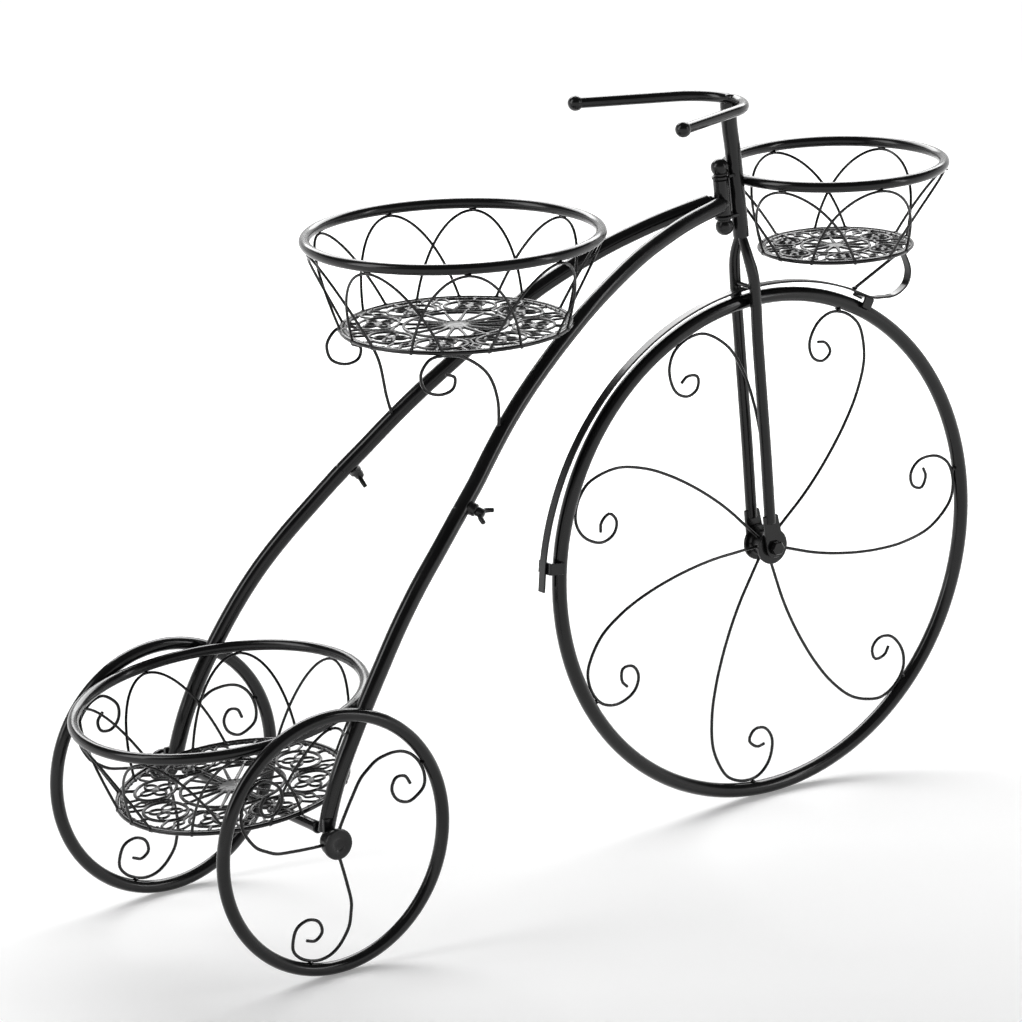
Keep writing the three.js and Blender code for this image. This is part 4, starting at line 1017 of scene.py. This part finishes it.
class PLANTER_OT_head(PlanterOperator, bpy.types.Operator):
    """Builds the steerer tube, its two lugs and the sleeve, pin and ball caps of the head"""

    bl_idname = "planter.head"
    bl_label = "Head and steerer"

    SLEEVE = [(4.35, -17), (6.9, -17), (7.5, -16.4), (7.5, 16.4), (6.9, 17), (4.35, 17), (4.35, -17)]
    LUG = [(4.35, 0), (7.9, 0), (8.5, 0.5), (8.5, 2.5), (7.9, 3), (4.35, 3), (4.35, 0)]
    LUG_START = 17.7 * MM
    LUG_THICKNESS = 3 * MM
    PIN = [(0, -26.7), (4, -26.7), (4, 26.7), (0, 26.7)]
    CAP_BORE = [(4.35, 6.2), (0.02, 6.2)]
    CAP_NECK = [(4.35, 6.2), (4.35, 0), (5.2, 0), (6.4, 0.25)]
    CAP_TOP = (0.02, 15.7)
    WELD_Z = 0.552

    def build(self, scene):
        turned_piece("head_sleeve_tube", self.SLEEVE, head_turn(0), tube_enamel, "frame", 48)
        self.steerer(scene.planter_frame.steerer_tube)
        turned_piece("head_pin_shaft", self.PIN, head_turn(0), fitting_enamel, "fork", 32)
        ball = [(8.5 * x, 7.3 + 8.4 * z) for x, z in arc(1, -42, 90, 12)]
        for name, way in (("upper", 1), ("lower", -1)):
            at = head_turn(self.LUG_START + self.LUG_THICKNESS + WELD_GAP, way)
            shape = Shape()
            shape.turned([*self.CAP_NECK, *ball, self.CAP_TOP], at)
            shape.turned(self.CAP_BORE, at)
            make(f"head_pin_cap_{name}_ball", shape, fitting_enamel, "fork")

    def steerer(self, tube):
        """The tube up to the bar, the half of its wall behind the bar, and its two lugs."""
        line = [point for point in steerer_line() if point.z < BAR_UNDERSIDE_Z]
        line.append(Vector((steerer_x(BAR_UNDERSIDE_Z), 0, BAR_UNDERSIDE_Z)))
        shape = Shape()
        shape.tube(line, tube, 28, 0.04)
        back = arc(tube / 2, 94, 266, 20)
        top = Matrix.Translation((steerer_x(STEERER_CUT_Z), 0, STEERER_CUT_Z))
        shape.slab(back, BAR_UNDERSIDE_Z - STEERER_CUT_Z - 2 * MM, 0, top, 0.3 * MM)
        half = self.LUG_THICKNESS / 2
        for way in (-1, 1):
            shape.turned(self.LUG, head_turn(self.LUG_START, way))
            centre = along_head((self.LUG_START + half) * way)
            reach = (steerer_x(centre.z) - centre.x) / MM - 3
            outline = [mm(x, y) for x, y in ((4.7, -5.9), (reach, -6.2), (reach, 6.2), (4.7, 5.9))]
            flat = Matrix.Translation(centre) @ Matrix.Rotation(math.asin(HEAD_AXIS.x), 4, "Y")
            shape.slab(outline, -half, half, flat)
        weld = Vector((steerer_x(self.WELD_Z) + 4 * MM, 0, self.WELD_Z - 0.5 * MM))
        shape.blob(weld, mm(3, 4.5, 3.4), Vector((1, 0, 0.4)), 5)
        make("steerer_tube", shape, tube_enamel, "fork")


class PLANTER_OT_fork(PlanterOperator, bpy.types.Operator):
    """Bends the fork blades down to their flattened ends"""

    bl_idname = "planter.fork"
    bl_label = "Fork blades"

    FOOT_SIDE = ((9.6, 10), (8.8, 21), (8, 31.4), (7.4, 32))
    FOOT_RADIUS, FOOT_HEIGHT = 10, 32
    FOOT_INNER, FOOT_THICKNESS = mm(12.7, 3.5)

    def build(self, scene):
        for side, way in SIDES.items():
            line = blade_line(side, 120)
            line.insert(0, line[0] + Vector(mm(0, 0, 5)))
            taper = [min(1, 0.78 + 0.22 * i / 14) for i in range(len(line))]
            shape = Shape()
            shape.tube(line, [scene.planter_frame.blade_tube * part for part in taper], 24, 0.3)
            self.dropout(shape, way, line[-1].x - FRONT_AXLE.x)
            make(f"fork_blade_{side}_tube", shape, tube_enamel, "fork")

    def dropout(self, shape, way, lean):
        """The flattened end that hangs on the axle bolt and leans forward up to the blade."""
        height = self.FOOT_HEIGHT
        outline = arc(self.FOOT_RADIUS * MM, 180, 360, 16)
        sides = [*self.FOOT_SIDE, *((x, height) for x in (3.7, 0, -3.7))]
        sides += [(-x, z) for x, z in self.FOOT_SIDE[::-1]]
        outline += [(x * MM + lean * z / height, z * MM) for x, z in sides]
        inner = self.FOOT_INNER
        shape.eye(outline, 4.35 * MM, inner * way, (inner + self.FOOT_THICKNESS) * way, FRONT_AXLE)


class PLANTER_OT_handlebar(PlanterOperator, bpy.types.Operator):
    """Bends the handlebar and puts its balls on"""

    bl_idname = "planter.handlebar"
    bl_label = "Handlebar"

    RADIUS, LEG = mm(51, 91.4)
    BEND = 68
    RISE = math.tan(math.radians(0.7))
    HEIGHT = 0.679
    BALL_DEPTH = 5

    def build(self, scene):
        sizes = scene.planter_frame
        front = steerer_x(self.HEIGHT) + 5 * MM
        centre = Vector((front - self.RADIUS, 0, 0))
        half = [centre + polar(self.RADIUS, self.BEND * i / 28) for i in range(29)]
        half += straight(half[-1], half[-1] + polar(self.LEG, 90 + self.BEND), 20)[1:]
        for point in half:
            point.z = self.HEIGHT + (front - point.x) * self.RISE
        line = [Vector((point.x, -point.y, point.z)) for point in half[:0:-1]] + half
        shape = Shape()
        shape.tube(spaced(line, 150), sizes.bar_tube, 24, 0.1)
        weld = Vector((front - 2.6 * MM, 0, self.HEIGHT + 3.4 * MM))
        shape.blob(weld, mm(6.4, 3.2, 2.2), Vector((-0.5, 0, 1)), 11)
        make("handlebar_tube", shape, tube_enamel, "fork")
        for side, way in SIDES.items():
            end, before = (Vector((point.x, way * point.y, point.z)) for point in (half[-1], half[-3]))
            self.ball(side, end, (end - before).normalized(), sizes)

    def ball(self, side, end, out, sizes):
        radius, mouth = sizes.bar_ball / 2 / MM, (sizes.bar_tube / 2 + WELD_GAP) / MM
        low = -math.degrees(math.acos(mouth / radius))
        profile = [(mouth, self.BALL_DEPTH - radius + WELD_GAP / MM), *arc(radius, low, 90, 14)]
        turn = facing(end + out * (radius - self.BALL_DEPTH) * MM, out)
        turned_piece(f"handlebar_ball_{side}_turned", profile, turn, fitting_enamel, "fork", 36)


class PLANTER_OT_fender(PlanterOperator, bpy.types.Operator):
    """Rolls the fender strip and adds its clips, its bridge and the basket's brace"""

    bl_idname = "planter.fender"
    bl_label = "Fender"

    CORNER_ROUNDING = 0.35 * MM
    CLIP_INNER, CLIP_OUTER, CLIP_LOW, CLIP_LIP = 8, 10, 242, 3.4
    CLIP_LEVELS = ((-5.5, 0.25), (-5.25, 0), (5.25, 0), (5.5, 0.25))

    def build(self, scene):
        sizes = scene.planter_frame
        rear, front = FENDER_ANGLES
        angles = [rear + (front - rear) * i / 15 for i in range(16)]
        arc = [FRONT_AXLE + upright(fender_reach(angle), angle) for angle in angles]
        shape = Shape()
        self.strip(shape, smooth_line([*arc, *curl_points()], 180), sizes)
        make("fender_strip", shape, tube_enamel, "fork")
        for name, angle in CLIP_ANGLES.items():
            shape = Shape()
            self.clip(shape, angle, sizes.fender_thickness)
            make(f"fender_clip_{name}_plate", shape, fitting_enamel, "fork")
        self.bridge(sizes)
        self.brace()

    def strip(self, shape, line, sizes):
        half, flat = sizes.fender_width / 2, sizes.fender_thickness / 2
        edge, side = half - self.CORNER_ROUNDING, flat - self.CORNER_ROUNDING
        section = [
            (-edge, -flat), (edge, -flat), (half, -side), (half, side), (edge, flat), (-edge, flat),
            (-half, side), (-half, -side)]
        rows = []
        for point, way in zip(line, headings(line)):
            up = way.cross(Vector((0, 1, 0))).normalized()
            rows.append([point + Vector((0, y, 0)) + up * t for y, t in section])
        shape.grid(rows)
        shape.fan(rows[0], line[0], flip=True)
        shape.fan(rows[-1], line[-1])

    def clip(self, shape, angle, thick):
        """A small bent saddle that holds the strip over the rim. Its far cheek is a short lip."""
        inner, outer = self.CLIP_INNER, self.CLIP_OUTER
        top = (fender_reach(angle) - thick / 2) / MM - 0.6
        lip = top - self.CLIP_LIP
        path = [
            (outer, lip), (outer, top - 1.2), (outer - 1.2, top), (1.2 - outer, top), (-outer, top - 1.2),
            (-outer, self.CLIP_LOW), (-inner, self.CLIP_LOW), (-inner, top - 2.6), (0.6 - inner, top - 2),
            (inner - 0.6, top - 2), (inner, top - 2.6), (inner, lip)]
        turn = Matrix.Translation(FRONT_AXLE) @ Matrix.Rotation(math.radians(90 - angle), 4, "Y")
        rows = []
        for x, inset in self.CLIP_LEVELS:
            drawn = [(y - math.copysign(inset, y) if abs(y) > 9 else y, z) for y, z in path]
            rows.append([turn @ Vector(mm(x, y, z)) for y, z in drawn])
        shape.grid(rows)
        for row, flip in ((rows[0], True), (rows[-1], False)):
            start = len(shape.corners)
            shape.corners.extend(row)
            for i in range(5):
                face = [start + j for j in (i, i + 1, 10 - i, 11 - i)]
                shape.faces.append(tuple(reversed(face)) if flip else tuple(face))

    def bridge(self, sizes):
        """The cross wire over the strip, between the blades."""
        x = CROWN.x + (FRONT_AXLE.x - CROWN.x) * 0.15
        angle = math.degrees(math.acos((x - FRONT_AXLE.x) / FENDER_RADIUS))
        wire = 4 * MM
        reach = fender_reach(angle) + sizes.fender_thickness / 2 + 2 * WELD_GAP + wire / 2
        z = FRONT_AXLE.z + math.sqrt(reach**2 - (FRONT_AXLE.x - x) ** 2)
        end = BLADE_OFFSET - 5.8 * MM
        shape = Shape()
        shape.tube(straight(Vector((x, -end, z)), Vector((x, end, z)), 20), wire, 16, 0.3)
        make("fender_bridge_wire", shape, tube_enamel, "fork")

    def brace(self):
        """The straight wire from the strip up to its curl."""
        foot = FRONT_AXLE + upright(fender_reach(BRACE_ANGLE), BRACE_ANGLE)
        head = smooth_line(curl_points(), 200)[160]
        way = (head - foot).normalized()
        start, end = foot + way * 2.3 * MM, head - way * 1.5 * MM
        shape = Shape()
        shape.tube(straight(start, end, 30), 3.2 * MM, 14, 0.3)
        shape.blob(start + way * 0.4 * MM, mm(3.4, 2.6, 1.5), upright(1, BRACE_ANGLE), 21)
        make("basket_brace_wire", shape, wire_enamel, "fork")


class PLANTER_OT_basket_rims(PlanterOperator, bpy.types.Operator):
    """Bends and welds the three basket rims"""

    bl_idname = "planter.basket_rims"
    bl_label = "Basket rims"

    def build(self, scene):
        for name, basket in BASKETS.items():
            turn = basket_turn(basket) @ Matrix.Translation((0, 0, basket["height"]))
            shape = Shape()
            shape.ring(basket["rim"], scene.planter_baskets.rim_tube, 168, 24, basket["seam"], 0.05, turn)
            make(f"{name}_basket_rim_tube", shape, tube_enamel, basket["body"])


class PLANTER_OT_basket_cages(PlanterOperator, bpy.types.Operator):
    """Crosses the wire arches of each basket and welds them to the rim and the base ring"""

    bl_idname = "planter.basket_cages"
    bl_label = "Basket arches"

    BASE_SEAM = 70
    ARCH_HALF_STEPS = 24
    FOOT_LENGTH = 2.4 * MM

    def build(self, scene):
        sizes = scene.planter_baskets
        for name, basket in BASKETS.items():
            shape = Shape()
            shape.ring(basket["base"], sizes.base_wire, 120, 14, self.BASE_SEAM, 0.1)
            apex = basket["height"] - sizes.rim_tube / 2 - WELD_GAP - sizes.cage_wire / 2
            for i, nudge in enumerate(basket["nudges"]):
                middle = basket["turn"] + 360 * i / basket["arches"] + nudge
                self.arch(shape, basket, middle, apex, sizes, i)
            shape.moved(basket_turn(basket))
            make(f"{name}_basket_cage_wires", shape, wire_enamel, basket["body"])

    def arch(self, shape, basket, middle, apex, sizes, seed):
        base, rim = basket["base"], basket["rim"]
        spread = ARCH_SPREAD * 360 / basket["arches"]
        wire = sizes.cage_wire
        points = []
        for step in range(-self.ARCH_HALF_STEPS, self.ARCH_HALF_STEPS + 1):
            out = step / self.ARCH_HALF_STEPS
            up = 1 - abs(out) ** ARCH_POWER
            points.append(polar(base + (rim - base) * up, middle + spread * out, apex * up))
        feet = [end + (end - inside).normalized() * self.FOOT_LENGTH
                for end, inside in (points[:2], points[:-3:-1])]
        shape.tube(spaced([feet[0], *points, feet[1]], 72), wire, 10, 0.5)
        top = polar(rim, middle, apex + wire * 0.42)
        shape.blob(top, (wire * 0.75, wire * 2.1, wire * 0.55), UP, seed + 40)
        drop = (sizes.base_wire * 0.66,) * 3
        for way in (-1, 1):
            around = middle + way * spread
            shape.blob(polar(base, around), drop, polar(1, around), seed + 60, 6, 10)


class PLANTER_OT_basket_floors(PlanterOperator, bpy.types.Operator):
    """Casts the openwork floors with their ring of flowers"""

    bl_idname = "planter.basket_floors"
    bl_label = "Basket floors"

    KNOBS_PER_FLOWER = 9
    INNER_SHARE = 0.47
    BOSS_SHARE = 0.15
    LOOP_SHARES = (0.185, 0.235, 0.71)
    # The scrolls' points: a share of the floor's radius, and one of half the angle between two flowers
    OUTER_SCROLL = ((0.96, 0.72), (0.985, 0.9), (0.9, 1))
    INNER_SCROLL = ((0.56, 0.66), (0.6, 1))
    CURL = ((0.9, 1), (0.83, 0.86), (0.76, 0.98), (0.6, 1))
    OUTER_SCROLL_START = 13.6 / 22.5
    INNER_SCROLL_START = 12 / 22.5

    def build(self, scene):
        sizes = scene.planter_baskets
        for name, basket in BASKETS.items():
            outer = basket["base"] - sizes.base_wire / 2 - WELD_GAP - sizes.floor_wire / 2
            shape = Shape()
            self.disc(shape, outer, basket["flowers"], sizes.floor_wire)
            for i in range(basket["flowers"]):
                start = len(shape.corners)
                self.flower(shape, outer, 360 / basket["flowers"], sizes.floor_wire)
                shape.moved(Matrix.Rotation(math.radians(360 * i / basket["flowers"]), 4, "Z"), start)
            shape.moved(basket_turn(basket))
            make(f"{name}_basket_floor_casting", shape, cast_enamel, basket["body"])

    def bar(self, shape, points, widths, sides=8, rounding=0.4):
        shape.tube(points, widths, sides, rounding, 0.9, UP)

    def disc(self, shape, outer, flowers, line):
        """The two rings, the knobs on the outer one, the boss and the rays."""
        shape.loop(circle(outer, 120), line, 8, 0.9, UP)
        for i in range(self.KNOBS_PER_FLOWER * flowers):
            knob = line * (0.6 if i % 3 else 0.74)
            at = polar(outer - 0.5 * MM, 360 * i / self.KNOBS_PER_FLOWER / flowers)
            shape.blob(at, (knob, knob, knob * 0.9), UP, i, 4, 8)
        inner = outer * self.INNER_SHARE
        shape.loop(circle(inner, 80), line, 8, 0.9, UP)
        boss = outer * self.BOSS_SHARE / MM
        shape.turned([
            (0, -1), (boss, -0.9), (boss, 0.3), (boss * 0.9, 0.95), (boss * 0.62, 1.05), (boss * 0.5, 1.5),
            (boss * 0.3, 1.85), (0, 2)], Matrix(), 36)
        widths = [line * (1.15 - 0.4 * i / 8) for i in range(9)]
        for i in range(2 * flowers):
            angle = 180 * i / flowers
            reach = inner if i % 2 else inner + outer * 0.04
            ray = straight(polar(boss * 0.8 * MM, angle), polar(reach, angle), 8)
            self.bar(shape, ray, widths, rounding=0.3)

    def flower(self, shape, outer, step, line):
        """One four-petalled flower in its loop, with the scrolls that tie it in."""
        loop, across, centre = (outer * part for part in self.LOOP_SHARES)
        middle = Vector((centre, 0, 0))
        around = [middle + Vector((loop * at.x, across * at.y, 0)) for at in circle(1, 48)]
        shape.loop(around, line * 0.95, 8, 0.9, UP)
        for petal in range(4):
            self.petal(shape, middle, polar(loop, 45 + 90 * petal), line)
        shape.blob(middle + Vector(mm(0, 0, 0.4)), (loop * 0.26, loop * 0.26, 1.1 * MM), UP, 9, 6, 12)
        self.bar(shape, straight(polar(centre + loop, 0), polar(outer, 0), 4), line, rounding=0.3)
        inside = polar(outer * self.INNER_SHARE, 0)
        self.bar(shape, straight(inside, polar(centre - loop, 0), 4), line, rounding=0.3)
        outer_start = (centre + loop * 0.62) / outer, self.OUTER_SCROLL_START
        inner_start = (centre - loop * 0.6) / outer, self.INNER_SCROLL_START
        for way in (-1, 1):
            for shares, width_share, count in (
                ((outer_start, *self.OUTER_SCROLL), 0.8, 12), ((inner_start, *self.INNER_SCROLL), 0.8, 12),
                (self.CURL, 0.75, 14),
            ):
                points = [polar(outer * out, way * step / 2 * around) for out, around in shares]
                self.bar(shape, smooth_line(points, count), line * width_share)

    def petal(self, shape, middle, out, line):
        """A petal's outline and its short stem. Out is the flower's own radius along the petal."""
        side = Vector((-out.y, out.x, 0))
        at = middle + out * 0.46
        ring = [at + out * 0.34 * turn.x + side * 0.27 * turn.y for turn in circle(1, 16)]
        shape.loop(ring, line * 0.8, 6, 1, UP)
        self.bar(shape, straight(at + out * 0.3, at + out * 0.6, 3), line * 0.7, sides=6)


class PLANTER_OT_supports(PlanterOperator, bpy.types.Operator):
    """Curls the two wire scrolls that carry the middle basket"""

    bl_idname = "planter.supports"
    bl_label = "Basket supports"

    def build(self, scene):
        wire = scene.planter_baskets.support_wire
        clear = scene.planter_frame.stay_tube / 2 + 0.6 * MM
        place, base = BASKETS["middle"]["place"], BASKETS["middle"]["base"]
        x = place.x - math.sqrt(base**2 - SUPPORT_OFFSET**2)
        z = place.z - BASE_RING_RADIUS - WELD_GAP - wire / 2
        for side, way in SIDES.items():
            stay = stay_line(side)
            y = way * SUPPORT_OFFSET
            foot = stay[round(STAY_STEPS * SUPPORT_FOOT_SHARES[side])].copy()
            foot.y = y
            shares = (*SUPPORT_LEG_SHARES[side], *SUPPORT_CURL_SHARES)
            scroll = [
                Vector((x + SUPPORT_RISE * forward, y, z + SUPPORT_RISE * up)) for forward, up in shares]
            line = smooth_line([foot, *scroll], 160)
            while min((point - line[0]).length for point in stay) < clear:
                line.pop(0)
            shape = Shape()
            shape.tube(line, wire, 12, 0.5)
            weld = wire * 0.6, wire * 0.6, wire * 0.8
            shape.blob(line[0], weld, (line[1] - line[0]).normalized(), 31)
            make(f"middle_basket_support_{side}_scroll", shape, wire_enamel, "frame")


class PLANTER_OT_stage(PlanterOperator, bpy.types.Operator):
    """Sets up the pale floor, the soft lights and the camera"""

    bl_idname = "planter.stage"
    bl_label = "Studio"

    # Place, width and height, power
    LAMPS = {
        "left_softbox": ((-2.4, 0.7, 2), (1.1, 2.3), 32),
        "right_softbox": ((1.9, -2.4, 1.5), (0.3, 2.2), 12),
        "back_softbox": ((1.25, 1.8, 2.02), (3.2, 1.35), 98),
    }
    FLOOR_REACH = 30
    # How far up the room, from the horizon at 0, the white walls end and the ceiling starts
    WALL_TOPS = (0.2, 0.42)
    LOOK = Vector((-0.04117, 0, 0.334881))
    # Radians and metres, as solved from the photograph
    CAMERA_AZIMUTH, CAMERA_ELEVATION, CAMERA_ROLL, CAMERA_DISTANCE = 0.606, 0.275, -0.035, 4.91618
    FOCAL_PIXELS, IMAGE_PIXELS, SENSOR_WIDTH = 5391.09, 1022, 36

    def build(self, scene):
        scene.view_settings.view_transform = "Standard"
        self.floor(scene)
        self.room(scene)
        for name, (place, size, power) in self.LAMPS.items():
            lamp = bpy.data.lights.new(name, "AREA")
            lamp.shape = "RECTANGLE"
            lamp.size, lamp.size_y = size
            lamp.energy = power
            holder = bpy.data.objects.new(name, lamp)
            scene.collection.objects.link(holder)
            holder.location = place
            holder.rotation_euler = (self.LOOK - Vector(place)).to_track_quat("-Z", "Y").to_euler()
        self.camera(scene)

    def floor(self, scene):
        mesh = bpy.data.meshes.new("studio_floor")
        reach = self.FLOOR_REACH
        corners = [(-reach, -reach, 0), (reach, -reach, 0), (reach, reach, 0), (-reach, reach, 0)]
        mesh.from_pydata(corners, [], [(0, 1, 2, 3)])
        mesh.materials.append(studio_paper())
        floor = bpy.data.objects.new("studio_floor", mesh)
        scene.collection.objects.link(floor)

    def room(self, scene):
        """White walls near the horizon under a dim ceiling."""
        world = scene.world or bpy.data.worlds.new("Studio")
        scene.world = world
        world.use_nodes = True
        tree = Tree(world.node_tree)
        tree.nodes.clear()
        parts = tree.add("SeparateXYZ", Vector=tree.add("TexCoord").outputs["Generated"])
        strength = tree.ramp(parts.outputs["Z"], *self.WALL_TOPS, 1, scene.planter_studio.ceiling)
        background = tree.add("Background", Color=(1, 1, 1), Strength=strength)
        tree.add("OutputWorld", Surface=background.outputs["Background"])

    def camera(self, scene):
        azimuth, elevation, roll = self.CAMERA_AZIMUTH, self.CAMERA_ELEVATION, self.CAMERA_ROLL
        ahead = Vector((
            math.sin(azimuth) * math.cos(elevation), math.cos(azimuth) * math.cos(elevation),
            -math.sin(elevation)))
        right = Vector((math.cos(azimuth), -math.sin(azimuth), 0))
        up = right.cross(ahead)
        level_right = math.cos(roll) * right + math.sin(roll) * up
        level_up = -math.sin(roll) * right + math.cos(roll) * up
        data = bpy.data.cameras.new("camera")
        data.sensor_width = self.SENSOR_WIDTH
        data.lens = self.SENSOR_WIDTH * self.FOCAL_PIXELS / self.IMAGE_PIXELS
        data.clip_end = 100
        camera = bpy.data.objects.new("camera", data)
        scene.collection.objects.link(camera)
        turn = Matrix((level_right, level_up, -ahead)).transposed().to_4x4()
        camera.matrix_world = Matrix.Translation(self.LOOK - self.CAMERA_DISTANCE * ahead) @ turn
        scene.camera = camera


OPERATORS = (
    PLANTER_OT_wheel_rims, PLANTER_OT_spokes, PLANTER_OT_hubs, PLANTER_OT_stays, PLANTER_OT_clamps,
    PLANTER_OT_head, PLANTER_OT_fork, PLANTER_OT_handlebar, PLANTER_OT_fender, PLANTER_OT_basket_rims,
    PLANTER_OT_basket_cages, PLANTER_OT_basket_floors, PLANTER_OT_supports, PLANTER_OT_stage,
)


class PLANTER_PT_panel(bpy.types.Panel):
    """Lists the planter's sizes, colours and building steps"""

    bl_idname = "PLANTER_PT_panel"
    bl_label = "Bicycle planter"
    bl_space_type = "VIEW_3D"
    bl_region_type = "UI"
    bl_category = "Planter"

    def draw(self, context):
        for group, settings in SETTINGS.items():
            box = self.layout.box()
            for name in settings.__annotations__:
                box.prop(getattr(context.scene, group), name)
        for operator in OPERATORS:
            self.layout.operator(operator.bl_idname)


def register():
    for group, settings in SETTINGS.items():
        bpy.utils.register_class(settings)
        setattr(bpy.types.Scene, group, bpy.props.PointerProperty(type=settings))
    for operator in OPERATORS:
        bpy.utils.register_class(operator)
    bpy.utils.register_class(PLANTER_PT_panel)


def unregister():
    bpy.utils.unregister_class(PLANTER_PT_panel)
    for operator in reversed(OPERATORS):
        bpy.utils.unregister_class(operator)
    for group, settings in SETTINGS.items():
        delattr(bpy.types.Scene, group)
        bpy.utils.unregister_class(settings)


def main():
    register()
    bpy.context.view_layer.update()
    for operator in OPERATORS:
        family, step = operator.bl_idname.split(".")
        getattr(getattr(bpy.ops, family), step)()
    bpy.context.view_layer.update()


if __name__ == "__main__":
    main()
